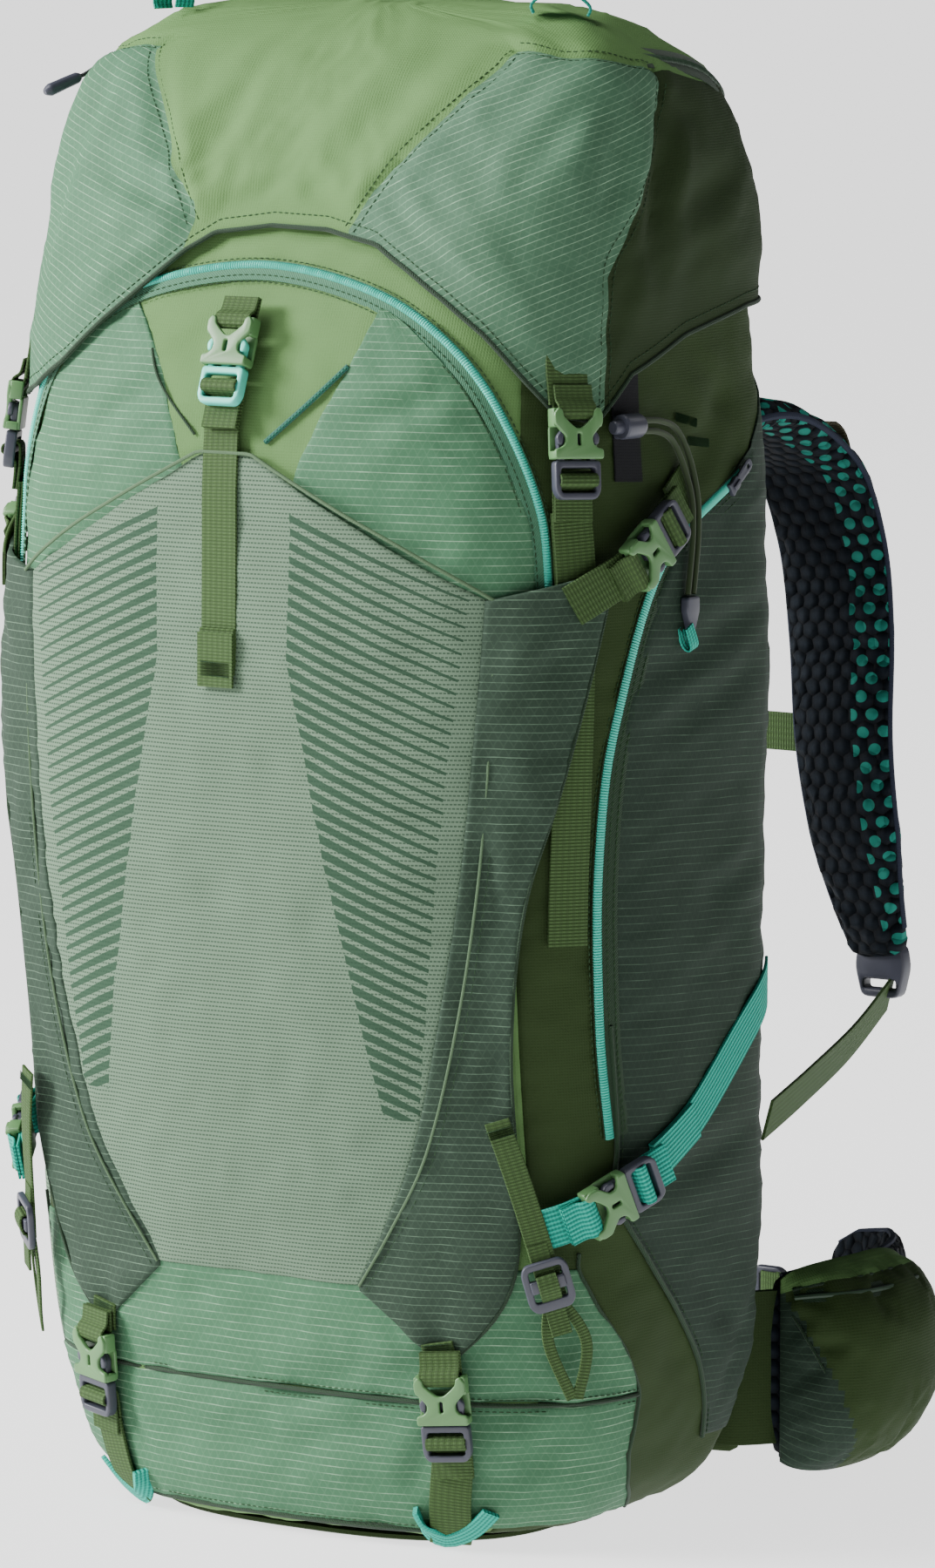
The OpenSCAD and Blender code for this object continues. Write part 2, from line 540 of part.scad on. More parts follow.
// Height of the lid's lower edge in a direction, which hangs lower on the left than on the right
function lid_edge(a) =
    let (turn = (a + 90 + 540) % 360 - 180)
    lookup(abs(turn), turn < 0 ? LID_EDGE_LEFT : LID_EDGE_RIGHT);
LID_COLS = 60;
LID_LEVELS = [0, 0.14, 0.3, 0.48, 0.64, 0.78, 0.87, 0.93, 0.97, 1];
module lid_cover() {
    top = STATIONS[LAST][0];
    skin = function (d) [for (u = LID_LEVELS) [for (i = [0:LID_COLS - 1])
        let (a = 360 * i / LID_COLS - 180, q = bag_at(ramp([lid_edge(a), top], u), a))
        sized(q) + bag_normal(q) * d]];
    color(FABRIC) slab(skin(LID_OUT), skin(LID_OUT - LID_T), closed = true, capped = true);
}
LID_FLOOR_Z = 676;
LID_FLOOR_T = 1.5;
LID_FLOOR_SHARE = 0.955;
module lid_floor() {
    color(OLIVE) translate([0, 1, LID_FLOOR_Z]) linear_extrude(LID_FLOOR_T)
        polygon([for (a = [0:8:352])
            let (q = sized(bag_at(LID_FLOOR_Z, a))) [q[0], q[1]] * LID_FLOOR_SHARE]);
}
module lash_loops() {
    color(TEAL) {
        band(LASH_LOOP, LASH_ACROSS, LOOP_W, WEB_THIN, 3);
        band(flips(LASH_LOOP), flip(LASH_ACROSS), LOOP_W, WEB_THIN, 3);
    }
}
module lid_webbings() color(OLIVE) pair(LID_WEB, web_w, LID_OUT + 1);

// Side cord -------------------------------------------------------------------------------------------
module side_cord_patch() color("black") strip([[165, -36, 570], [169, -40, 520]], 18, -1.1, 1, 2);
CORD_LOCK_AT = [[168, -43, 544], [172, -20, 544]];
module side_cord_lock() {
    color(CHARCOAL) seat(CORD_LOCK_AT[0], CORD_LOCK_AT[1], 1.2)
        difference() {
            translate([-7, -6, 0]) cube([14, 12, 12]);
            translate([-9, 0, 6]) rotate([0, 90, 0]) cylinder(r = 3.4, h = 9, $fn = 32);
        }
}
module side_cord_button() {
    color(CHARCOAL) seat(CORD_LOCK_AT[0], CORD_LOCK_AT[1], 1.2)
        translate([-12.5, 0, 6]) rotate([0, 90, 0]) cylinder(r = 3.3, h = 8.5, $fn = 32);
}
module side_cord() {
    color(OLIVE) {
        tube([for (q = CORD_OUTER) sized(q)], CORD_D, CORD_D, [0.2, 0.5, 1], 8, 4);
        tube([for (q = CORD_INNER) sized(q)], CORD_D, CORD_D, [0.2, 0.5, 1], 8, 4);
    }
}
module side_cord_tip() {
    color(CHARCOAL) translate(sized([180, -1.5, 462])) rotate([90, 0, 90]) linear_extrude(4, center = true)
        polygon([[-5, -1], [5, -1], [5, -8], [0, -20], [-5, -8]]);
}

// Harness ---------------------------------------------------------------------------------------------
module back_pad() {
    rows = [for (z = steps(150, 556, 10)) [z, 52, 128]];
    color(NAVY) sheet(rows, 6, -0.8, 7);
}
module lumbar_pad() {
    rows = [for (z = [30, 42, 55, 68, 80, 92, 105, 118, 130, 142]) [z, 50, 130]];
    color(NAVY) sheet(rows, 8, 0.4, 9);
}
YOKE_Y = 128.5;
YOKE_T = 4;
module yoke() {
    color(NAVY) translate([0, YOKE_Y + YOKE_T, 0]) rotate([90, 0, 0]) linear_extrude(YOKE_T)
        polygon([[-84, 430], [84, 430], [84, 470], [60, 500], [-60, 500], [-84, 470]]);
}
module shoulder_strap(line) tube(line, shoulder_w, shoulder_t, [1, 0, 0], 10, 3);
module shoulder_strap_right() color(NAVY) shoulder_strap(STRAP_LINE);
module shoulder_strap_left() color(NAVY) shoulder_strap(flips(STRAP_LINE));
module load_lifters() {
    color(OLIVE) {
        band(LIFTER, [1, 0, 0], 20, web_t);
        band(flips(LIFTER), [1, 0, 0], 20, web_t);
    }
}
module lower_harness_webbings() {
    color(OLIVE) {
        band(HARNESS_WEB, [0.3, 0, 1], 22, web_t);
        band(flips(HARNESS_WEB), [-0.3, 0, 1], 22, web_t);
    }
}
module haul_loop() color(OLIVE) band(HAUL_LOOP, [0, 0.2, 1], 18, 3, 3);
// Where each half of the sternum strap starts beside its buckle, and how long it is
STERNUM_START = [26, 21];
STERNUM_RUN = 68;
module sternum_strap() {
    color(OLIVE)
        for (s = [0, 1])
            mirror([s, 0, 0]) translate([STERNUM_START[s], STERNUM_Y - 2, STERNUM_Z - web_w / 2])
                cube([STERNUM_RUN, web_t, web_w]);
    color(BUCKLE_GREEN) translate([0, STERNUM_Y, STERNUM_Z]) rotate([-90, 0, 0]) buckle_female();
}
module sternum_buckle_male() {
    color(CHARCOAL) translate([0, STERNUM_Y, STERNUM_Z]) rotate([-90, 0, 0]) buckle_male();
}

// Hip belt --------------------------------------------------------------------------------------------
WING_MIDDLE = WING_BASE + wing_h / 2;
function plan_line(line, s) = [for (q = line) [s * q[0], q[1], WING_MIDDLE]];
module hip_belt_root() color(PLAIN) tube(plan_line(ROOT_LINE, 1), wing_h * 0.9, ROOT_T, [0, 0, 1], 12, 2);
module hip_wing_right() color(PLAIN) tube(plan_line(WING_LINE, 1), wing_h, wing_t, [0, 0, 1], 12, 3);
module hip_wing_left() color(PLAIN) tube(plan_line(WING_LINE, -1), wing_h, wing_t, [0, 0, 1], 12, 3);

// A zipped pocket on the outside of a wing: a crowned shape between two stations of the wing's line
POCKET_FOOT = 6;
POCKET_TOP = 112;
module hip_pocket(s) {
    way = smooth(plan_line(WING_LINE, 1), 3);
    first = 2;
    last = 12;
    n = last - first;
    rows = 6;
    out = [for (i = [first:last]) let (t = unit(way[i + 1] - way[i - 1])) [t[1], -t[0], 0]];
    skin = function (deep) [for (k = [0:rows]) [for (i = [0:n])
        let (u = 2 * i / n - 1, v = 2 * k / rows - 1, lift = deep ? (1 - pow(u, 6)) * (1 - pow(v, 6)) : 0,
             q = way[first + i] + out[i] * (wing_t / 2 + 1 + (deep ? 2 : 0) + HIP_POCKET_OUT * lift))
        [s * q[0], q[1], POCKET_FOOT + (POCKET_TOP - POCKET_FOOT) * k / rows]]];
    slab(s > 0 ? skin(false) : skin(true), s > 0 ? skin(true) : skin(false));
}
module hip_pocket_right() color(PLAIN) hip_pocket(1);
module hip_pocket_left() color(PLAIN) hip_pocket(-1);

// The belt's webbing runs from the wing's tip to its half of the buckle; the halves are drawn just apart
BELT_WEB_W = 25;
BELT_WEB_END = 84;
module belt_webbing(s, from_x) {
    color(OLIVE) translate([s > 0 ? from_x : -BELT_WEB_END, BELT_Y - 2, BELT_Z - BELT_WEB_W / 2])
        cube([BELT_WEB_END - from_x, web_t, BELT_WEB_W]);
}
module belt_strap_right() {
    belt_webbing(1, 44);
    color(CHARCOAL) translate([BELT_GAP + 15, BELT_Y, BELT_Z]) rotate([-90, 0, 0]) buckle_male();
}
module belt_strap_left() {
    belt_webbing(-1, 24);
    color(BUCKLE_GREEN) translate([-4, BELT_Y, BELT_Z]) rotate([-90, 0, 0]) buckle_female();
}

frame_rod();
frame_sheet();
back_panel();
back_pad();
lumbar_pad();
front_panel();
side_panel_right();
side_panel_left();
base_panel();
collar();
collar_drawcord();
collar_cord_lock();
stretch_pocket();
pocket_wing_right();
pocket_wing_left();
bottle_pocket();
front_zip();
side_zip();
olive_webbings();
teal_webbings();
ladder_locks();
strap_buckle_females();
haul_loop();
side_cord_patch();
side_cord();
side_cord_tip();
side_cord_lock();
side_cord_button();
lid_cover();
lid_floor();
lid_zip();
lash_loops();
lid_webbings();
lid_buckle_females();
lid_zip_slider();
front_zip_slider();
side_zip_slider();
lid_buckle_male_right();
lid_buckle_male_left();
pocket_buckle_male();
upper_buckle_male_right();
upper_buckle_male_left();
lower_buckle_male_right();
lower_buckle_male_left();
base_buckle_male_right();
base_buckle_male_left();
yoke();
shoulder_strap_right();
shoulder_strap_left();
load_lifters();
lower_harness_webbings();
sternum_strap();
sternum_buckle_male();
hip_belt_root();
hip_wing_right();
hip_wing_left();
hip_pocket_right();
hip_pocket_left();
belt_strap_right();
belt_strap_left();
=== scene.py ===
"""Looks of the hiking backpack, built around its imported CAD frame.

Shapes are worked out in millimetres on the same bag surface as the CAD and go into Blender in metres.
The pocket side faces -Y, the harness +Y and +X is the pack's right side.
"""

import math

import bmesh
import bpy
import numpy as np
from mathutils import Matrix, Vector, noise


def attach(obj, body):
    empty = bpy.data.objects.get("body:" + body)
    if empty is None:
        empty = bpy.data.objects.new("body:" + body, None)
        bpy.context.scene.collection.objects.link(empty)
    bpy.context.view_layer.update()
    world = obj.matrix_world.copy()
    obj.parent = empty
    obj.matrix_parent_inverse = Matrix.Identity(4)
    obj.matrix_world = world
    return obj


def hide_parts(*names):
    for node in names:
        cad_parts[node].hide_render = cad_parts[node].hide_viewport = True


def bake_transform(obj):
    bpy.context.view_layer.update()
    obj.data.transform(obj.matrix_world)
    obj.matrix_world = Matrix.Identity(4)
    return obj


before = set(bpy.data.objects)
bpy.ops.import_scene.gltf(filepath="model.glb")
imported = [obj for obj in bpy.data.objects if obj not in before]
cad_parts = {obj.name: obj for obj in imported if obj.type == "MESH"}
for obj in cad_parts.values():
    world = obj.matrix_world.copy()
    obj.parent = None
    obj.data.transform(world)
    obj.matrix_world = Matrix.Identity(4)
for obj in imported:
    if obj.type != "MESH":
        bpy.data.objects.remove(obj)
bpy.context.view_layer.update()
MM = 0.001
UP = np.array([0.0, 0.0, 1.0])
X_AXIS = np.array([1.0, 0.0, 0.0])

# ------------------------------------------------------------------------------------------------ bag surface
# Stations from the base up: height, half width, front, back
STATIONS = np.array([
    [0, 108, -78, 86], [8, 130, -90, 100], [30, 150, -96, 111], [80, 166, -101, 116],
    [130, 172, -106, 115], [200, 176, -118, 109], [300, 178, -128, 106], [400, 178, -132, 109],
    [500, 174, -131, 116], [550, 168, -125, 120], [600, 164, -107, 124], [640, 162, -86, 122],
    [675, 158, -68, 113], [700, 152, -52, 100], [720, 134, -34, 80], [733, 115, -14, 60], [738, 90, 4, 40]], float)
TOP = STATIONS[-1, 0]
FRONT_N = np.array([[500, 620, 700], [2.7, 3, 4]], float)
BACK_N = np.array([[500, 620, 700], [6, 5, 4]], float)
CENTRE_LEAD = 6


def station_slopes():
    chords = np.diff(STATIONS[:, 1:], axis=0) / np.diff(STATIONS[:, :1], axis=0)
    a, b = chords[:-1], chords[1:]
    both = a + b
    calm = np.where(a * b > 0, 2 * a * b / np.where(both == 0, 1, both), 0)
    return np.vstack([chords[:1], calm, chords[-1:]])


SLOPES = station_slopes()


def ring(z):
    """Half width, front, back, centre and both exponents of the ring at height z."""
    h = np.clip(np.asarray(z, float), 0, TOP)
    i = np.clip(np.searchsorted(STATIONS[:, 0], h, side="right") - 1, 0, len(STATIONS) - 2)
    low, high = STATIONS[i], STATIONS[i + 1]
    w = (high[..., 0] - low[..., 0])[..., None]
    u = (h - low[..., 0])[..., None] / w
    p = ((1 + 2 * u) * (1 - u) ** 2 * low[..., 1:] + u * (1 - u) ** 2 * w * SLOPES[i]
         + u * u * (3 - 2 * u) * high[..., 1:] + u * u * (u - 1) * w * SLOPES[i + 1])
    centre = np.maximum(0, p[..., 1] + CENTRE_LEAD)
    return p[..., 0], p[..., 1], p[..., 2], centre, np.interp(h, *FRONT_N), np.interp(h, *BACK_N)


def bag_at(z, angle):
    """Point of the bag at height z in direction angle, in degrees: -90 is the front, 90 the back."""
    z, angle = np.broadcast_arrays(np.asarray(z, float), np.asarray(angle, float))
    half, front, back, centre, n_front, n_back = ring(z)
    c, s = np.cos(np.radians(angle)), np.sin(np.radians(angle))
    n = np.where(s < 0, n_front, n_back)
    h = np.where(s < 0, centre - front, back - centre)
    reach_out = ((np.abs(c) / half) ** n + (np.abs(s) / h) ** n) ** (-1 / n)
    return np.stack([reach_out * c, centre + reach_out * s, z], -1)


def reach(q):
    """1 on the bag's surface, more outside."""
    half, front, back, centre, n_front, n_back = ring(q[..., 2])
    y = q[..., 1] - centre
    n = np.where(y < 0, n_front, n_back)
    h = np.where(y < 0, centre - front, back - centre)
    return (np.abs(q[..., 0]) / half) ** n + (np.abs(y) / h) ** n


def unit(v):
    """Vectors scaled to a length of one."""
    return v / np.maximum(np.linalg.norm(v, axis=-1, keepdims=True), 1e-9)


def bag_normal(q):
    e = 0.5
    return unit(np.stack([reach(q + e * axis) - reach(q - e * axis) for axis in np.eye(3)], -1))


def angle_of(q):
    q = np.asarray(q, float)
    return np.degrees(np.arctan2(q[..., 1] - ring(q[..., 2])[3], q[..., 0]))


def lifted(q, d=0.0):
    """Surface point nearest to a given point, lifted by d."""
    q = np.asarray(q, float)
    s = bag_at(q[..., 2], angle_of(q))
    return s + bag_normal(s) * np.asarray(d, float)[..., None]


def front_angle(z, x):
    """Direction on the front at a given x."""
    half, front, _, centre, n, _ = ring(z)
    h = centre - front
    u = np.minimum(np.abs(x) / half, 0.999)
    return np.degrees(np.arctan2(-h * (1 - u ** n) ** (1 / n), x))


def girth(z, angle, steps=36):
    """Length round the bag from the middle of the front to a direction."""
    t = np.linspace(0, 1, steps)
    a = -90 + (np.asarray(angle)[..., None] + 90) * t
    ring_points = bag_at(np.asarray(z)[..., None] * np.ones_like(t), a)
    run = np.linalg.norm(np.diff(ring_points, axis=-2), axis=-1).sum(-1)
    return np.where(np.asarray(angle) < -90, -run, run)


RISE_Z = np.arange(0, TOP + 1)
# Length up the front's middle line at each of those heights
RISE = np.concatenate([[0], np.cumsum(np.hypot(1, np.diff(ring(RISE_Z)[1])))])


def uv_grid(u, v):
    """A grid's uv in metres, from millimetres along its two ways that broadcast to its shape."""
    return np.stack(np.broadcast_arrays(u, v), -1).reshape(-1, 2) * MM


def cloth_uv(angle, z):
    """uv of cloth on the bag: u runs round it and v up the front."""
    return uv_grid(girth(z, angle), np.interp(z, RISE_Z, RISE))


def smooth(points, n=8):
    """Smooth curve through given points, n steps a span."""
    p = np.asarray(points, float)
    out = []
    for i in range(len(p) - 1):
        a, b, c, d = p[max(i - 1, 0)], p[i], p[i + 1], p[min(i + 2, len(p) - 1)]
        for u in np.arange(n) / n:
            out.append(0.5 * (2 * b + (c - a) * u + (2 * a - 5 * b + 4 * c - d) * u * u
                              + (3 * b - a - 3 * c + d) * u ** 3))
    return np.array(out + [p[-1]])


def run_of(points):
    """Distance along a line at each of its points."""
    return np.concatenate([[0], np.cumsum(np.linalg.norm(np.diff(points, axis=0), axis=1))])


def even(points, count):
    """The same line with its points evenly spaced."""
    p = np.asarray(points, float)
    run = run_of(p)
    at = np.linspace(0, run[-1], count)
    return np.stack([np.interp(at, run, p[:, k]) for k in range(p.shape[1])], -1)


def length_of(points):
    """Length of a line through points."""
    return float(np.linalg.norm(np.diff(points, axis=0), axis=1).sum())


def flip(points):
    """The same place on the other side of the pack."""
    return np.asarray(points, float) * [-1, 1, 1]


def ease(x, low, high):
    """0 below low, 1 above high, smooth between."""
    u = np.clip((np.asarray(x, float) - low) / (high - low), 0, 1)
    return u * u * (3 - 2 * u)


def rumple(points, size, seed):
    """Smooth noise from -1 to 1 at each point, with features about size millimetres across."""
    flat = np.asarray(points, float).reshape(-1, 3) / size + seed * 17.3
    values = np.array([noise.noise(Vector(p)) for p in flat])
    return values.reshape(np.asarray(points).shape[:-1])


# ----------------------------------------------------------------------------------------------------- meshes
def mesh_object(name, points, faces, uv=None, sharp=40):
    """A smooth-shaded mesh from points in millimetres. uv is one pair of metres a point."""
    mesh = bpy.data.meshes.new(name)
    mesh.from_pydata((np.asarray(points, float) * MM).tolist(), [], faces)
    if uv is not None:
        layer = mesh.uv_layers.new(name="weave")
        index = np.zeros(len(mesh.loops), int)
        mesh.loops.foreach_get("vertex_index", index)
        layer.data.foreach_set("uv", np.asarray(uv, float)[index].ravel())
    mesh.validate()
    mesh.shade_smooth()
    mesh.set_sharp_from_angle(angle=math.radians(sharp))
    obj = bpy.data.objects.new(name, mesh)
    bpy.context.scene.collection.objects.link(obj)
    return obj


def grid_faces(rows, cols, start=0, closed=False, turned=False):
    """Faces of a grid of points, row by row."""
    faces = []
    for i in range(rows - 1):
        for j in range(cols if closed else cols - 1):
            a, b = start + i * cols + j, start + i * cols + (j + 1) % cols
            quad = (a, b, b + cols, a + cols)
            faces.append(quad[::-1] if turned else quad)
    return faces


def slab(outer, inner, closed=False):
    """Points and faces of two grids closed along their rims. The outer grid runs right and up as seen from outside."""
    rows, cols = outer.shape[:2]
    size = rows * cols
    faces = grid_faces(rows, cols, 0, closed) + grid_faces(rows, cols, size, closed, turned=True)
    span = range(cols if closed else cols - 1)
    for j in span:
        a, b = j, (j + 1) % cols
        faces.append((b, a, a + size, b + size))
        a, b = (rows - 1) * cols + j, (rows - 1) * cols + (j + 1) % cols
        faces.append((a, b, b + size, a + size))
    if not closed:
        for i in range(rows - 1):
            a = i * cols
            faces.append((a, a + cols, a + cols + size, a + size))
            a += cols - 1
            faces.append((a + cols, a, a + size, a + cols + size))
    return np.concatenate([outer.reshape(-1, 3), inner.reshape(-1, 3)]), faces


def joined(parts):
    """Several (points, faces, uv) as one."""
    points, faces, uv, start = [], [], [], 0
    for p, f, t in parts:
        points.append(np.asarray(p, float))
        faces += [tuple(k + start for k in face) for face in f]
        uv.append(np.asarray(t, float) if t is not None else np.zeros((len(p), 2)))
        start += len(p)
    return np.concatenate(points), faces, np.concatenate(uv)


def end_caps(rows, around, turned=False):
    """Faces that close both ends of a grid of rings."""
    first = tuple(range(around))
    last = tuple((rows - 1) * around + k for k in range(around))
    return [first, last[::-1]] if turned else [first[::-1], last]


def twin(part):
    """The same part on the other side of the pack."""
    points, faces, uv = part
    return flip(points), [f[::-1] for f in faces], uv


def both(*parts):
    """Parts of the right side and their twins on the left."""
    return list(parts) + [twin(part) for part in parts]


def add_material(obj, key):
    """Give an object one more material, by its key."""
    obj.data.materials.append(MATERIALS[key][0])


def finish_piece(obj, body, key, *nodes, slot=None):
    """Gives a piece its material and its CAD body, and hides the CAD nodes that it stands for."""
    obj.data.materials.clear()
    add_material(obj, key)
    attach(obj, body)
    if nodes:
        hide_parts(*nodes)
    return obj


def piece(name, parts, body, key, *nodes, slot=None):
    """One object from several parts, in the material of that key."""
    sharp = 35 if MATERIALS[key][1].endswith("plastic") else 40
    return finish_piece(mesh_object(name, *joined(parts), sharp=sharp), body, key, *nodes, slot=slot)


def side_piece(name, parts, side, body, key, *nodes):
    """A piece from parts made for the right side, mirrored for the left."""
    return piece(name, [twin(part) for part in parts] if side == "left" else parts, body, key, *nodes)


def bending_piece(name, part, side, key, start, end):
    """A right side part, or its twin, as a fixed mesh in the material of that key. start and end are not used."""
    if side == "left":
        part, start, end = twin(part), flip(start), flip(end)
    obj = mesh_object(name, *part)
    add_material(obj, key)
    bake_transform(obj)
    return obj


# --------------------------------------------------------------------------------------------------- materials
def rgb(r, g, b):
    """Screen colour from 0 to 255 as linear light."""
    return tuple(((c / 255 + 0.055) / 1.055) ** 2.4 if c > 10 else c / 255 / 12.92 for c in (r, g, b)) + (1.0,)


def scaled(colour, share):
    """A colour that is darker or lighter by that share."""
    return tuple(min(1.0, share * c) for c in colour[:3]) + (1.0,)


class Shader:
    """Short calls to build one material's nodes. Scales are in metres."""

    def __init__(self, name, roughness=0.8, sheen=0.0, specular=0.2):
        self.material = bpy.data.materials.new(name)
        self.material.use_nodes = True
        self.tree = self.material.node_tree
        self.bsdf = self.tree.nodes["Principled BSDF"]
        self.bsdf.inputs["Roughness"].default_value = roughness
        self.bsdf.inputs["Sheen Weight"].default_value = sheen
        self.bsdf.inputs["Specular IOR Level"].default_value = specular

    def node(self, kind, inputs=None, **settings):
        made = self.tree.nodes.new(kind)
        for key, value in settings.items():
            setattr(made, key, value)
        for key, value in (inputs or {}).items():
            self.put(made.inputs[key], value)
        return made

    def put(self, socket, value):
        if isinstance(value, bpy.types.NodeSocket):
            self.tree.links.new(value, socket)
        else:
            socket.default_value = value

    def math(self, operation, a, b=0.0, c=0.0):
        made = self.node("ShaderNodeMath", operation=operation)
        for socket, value in zip(made.inputs, (a, b, c)):
            self.put(socket, value)
        return made.outputs[0]

    def place(self, uv=True):
        """The point on the material: its uv in metres, or its place in the row frame."""
        if uv:
            return self.node("ShaderNodeUVMap", uv_map="weave").outputs[0]
        return self.node("ShaderNodeTexCoord").outputs["Object"]

    def axes(self, vector):
        split = self.node("ShaderNodeSeparateXYZ", {0: vector})
        return split.outputs[0], split.outputs[1], split.outputs[2]

    def noise(self, vector, size, detail=3.0):
        made = self.node("ShaderNodeTexNoise", {"Vector": vector, "Scale": 1 / size, "Detail": detail})
        return made.outputs[0]

    def mix(self, amount, a, b):
        made = self.node("ShaderNodeMix", data_type="RGBA")
        self.put(made.inputs[0], amount)
        self.put(made.inputs[6], a)
        self.put(made.inputs[7], b)
        return made.outputs[2]

    def wave(self, along, pitch):
        """0 to 1 and back once every pitch."""
        turns = self.math("MULTIPLY", along, 2 * math.pi / pitch)
        return self.math("MULTIPLY_ADD", self.math("SINE", turns), 0.5, 0.5)

    def line(self, along, pitch, share):
        """1 on a thin line once every pitch, which it fills by that share."""
        part = self.math("FRACT", self.math("DIVIDE", along, pitch))
        return self.math("LESS_THAN", part, share)

    def hexagons(self, u, v, pitch):
        """Squared distance to the nearest of the points of a staggered grid, in shares of its pitch."""
        found = []
        for shift in (0.0, 0.5):
            parts = []
            for along, step in ((v, pitch), (u, pitch * 1.732)):
                share = self.math("FRACT", self.math("MULTIPLY_ADD", along, 1 / step, shift))
                off = self.math("MULTIPLY", self.math("SUBTRACT", share, 0.5), step / pitch)
                parts.append(self.math("MULTIPLY", off, off))
            found.append(self.math("ADD", *parts))
        return self.math("MINIMUM", *found)

    def dye_and_shade(self, base, shade, *speckles):
        """An uneven dye, and painted shade where a speckle is a weave's relief: base where the speckles are high, a
        darker shade of it where they are low.
        """
        amount = 0.0
        for pattern, share in speckles:
            amount = self.math("MULTIPLY_ADD", pattern, share, amount)
        return self.mix(amount, scaled(base, shade), base)

    def within(self, low, value, high):
        above = self.math("GREATER_THAN", value, low)
        return self.math("MULTIPLY", above, self.math("LESS_THAN", value, high))

    def done(self, colour, height=None, depth=0.0004, strength=1.0):
        self.put(self.bsdf.inputs["Base Color"], colour)
        if height is not None:
            bump = self.node("ShaderNodeBump", {"Height": height, "Distance": depth, "Strength": strength})
            self.tree.links.new(bump.outputs[0], self.bsdf.inputs["Normal"])
        return self.material


def ripstop(name, base, line, turn=0.0):
    """Ripstop cloth: thin light threads, a faint embossed triangle pattern and uneven dye."""
    s = Shader(name, 0.75)
    p = s.node("ShaderNodeVectorRotate", {"Vector": s.place(), "Angle": math.radians(turn)},
               rotation_type="Z_AXIS").outputs[0]
    x, y, _ = s.axes(p)
    worn = s.noise(p, 0.011, 2.0)
    wobble = s.math("MULTIPLY_ADD", s.noise(p, 0.05, 1.0), 0.0016, y)
    threads = s.math("MULTIPLY", s.line(wobble, 0.0039, 0.115), s.math("MULTIPLY_ADD", worn, 2.6, -0.7))
    diagonals = [s.line(s.math("MULTIPLY_ADD", x, slope, y), 0.0078, 0.16) for slope in (1.73, -1.73)]
    emboss = s.math("MAXIMUM", *diagonals)
    grain = s.noise(s.node("ShaderNodeVectorMath", {0: p, 1: (1.0, 3.0, 1.0)}, operation="MULTIPLY").outputs[0],
                    0.0011, 2.0)
    patches = s.noise(p, 0.06, 3.0)
    cloth = s.dye_and_shade(base, 0.6, (patches, 0.35), (grain, 0.5))
    cloth = s.mix(s.math("MULTIPLY", emboss, 0.06), cloth, line)
    cloth = s.mix(s.math("MULTIPLY", threads, 0.7), cloth, line)
    height = s.math("MULTIPLY_ADD", grain, 0.5, s.math("MULTIPLY_ADD", emboss, 0.25, threads))
    return s.done(cloth, height, 0.00025, 0.7)


def plain_cloth(name, base, size=0.0007):
    """Plain packcloth with a fine weave and uneven dye."""
    s = Shader(name, 0.8)
    p = s.place()
    x, y, _ = s.axes(p)
    weave = s.math("MULTIPLY", s.wave(x, size * 2), s.wave(y, size * 2))
    grain = s.noise(p, 0.0012, 3.0)
    patches = s.noise(p, 0.05, 3.0)
    cloth = s.dye_and_shade(base, 0.75, (patches, 0.4), (grain, 0.45))
    return s.done(cloth, s.math("ADD", weave, grain), 0.0002, 0.6)


def stretch_weave(name, base, dash, stripe=None):
    """Stretch knit with rows of short dashes, and the pocket's two columns of slanted stripes."""
    s = Shader(name, 0.85)
    p = s.place(uv=False)
    x, y, z = s.axes(p)
    across = s.place()
    u, v, _ = s.axes(across)
    rows = s.line(v, 0.0021, 0.36)
    gaps = s.line(s.math("MULTIPLY_ADD", s.math("FLOOR", s.math("DIVIDE", v, 0.0021)), 0.0011, u), 0.0019, 0.72)
    dashes = s.math("MULTIPLY", rows, gaps)
    grain = s.noise(across, 0.0012, 2.0)
    patches = s.noise(across, 0.07, 2.0)
    cloth = s.dye_and_shade(base, 0.8, (patches, 0.4), (grain, 0.5))
    cloth = s.mix(s.math("MULTIPLY", dashes, 0.85), cloth, dash)
    if stripe:
        side = s.math("ABSOLUTE", x)
        inner = s.math("MAXIMUM", 0.038, s.math("MULTIPLY_ADD", z, -0.2, 0.1246))
        outer = s.math("MULTIPLY_ADD", z, 0.11, 0.0745)
        top = s.math("MULTIPLY_ADD", side, -0.37, 0.518)
        inside = s.math("MULTIPLY", s.within(inner, side, outer), s.within(0.215, z, top))
        share = s.math("DIVIDE", s.math("SUBTRACT", outer, side), s.math("SUBTRACT", outer, inner))
        low = s.math("MULTIPLY_ADD", z, -0.9, 0.46)
        duty = s.math("MINIMUM", 0.62, s.math("MULTIPLY_ADD", share, 0.4, s.math("ADD", low, 0.12)))
        phase = s.math("FRACT", s.math("DIVIDE", s.math("MULTIPLY_ADD", side, 0.4, z), 0.0066))
        stripes = s.math("MULTIPLY", inside, s.math("LESS_THAN", phase, duty))
        cloth = s.mix(s.math("MULTIPLY", stripes, 0.9), cloth, stripe)
    return s.done(cloth, s.math("SUBTRACT", s.math("MULTIPLY", grain, 0.6), dashes), 0.0003, 0.8)


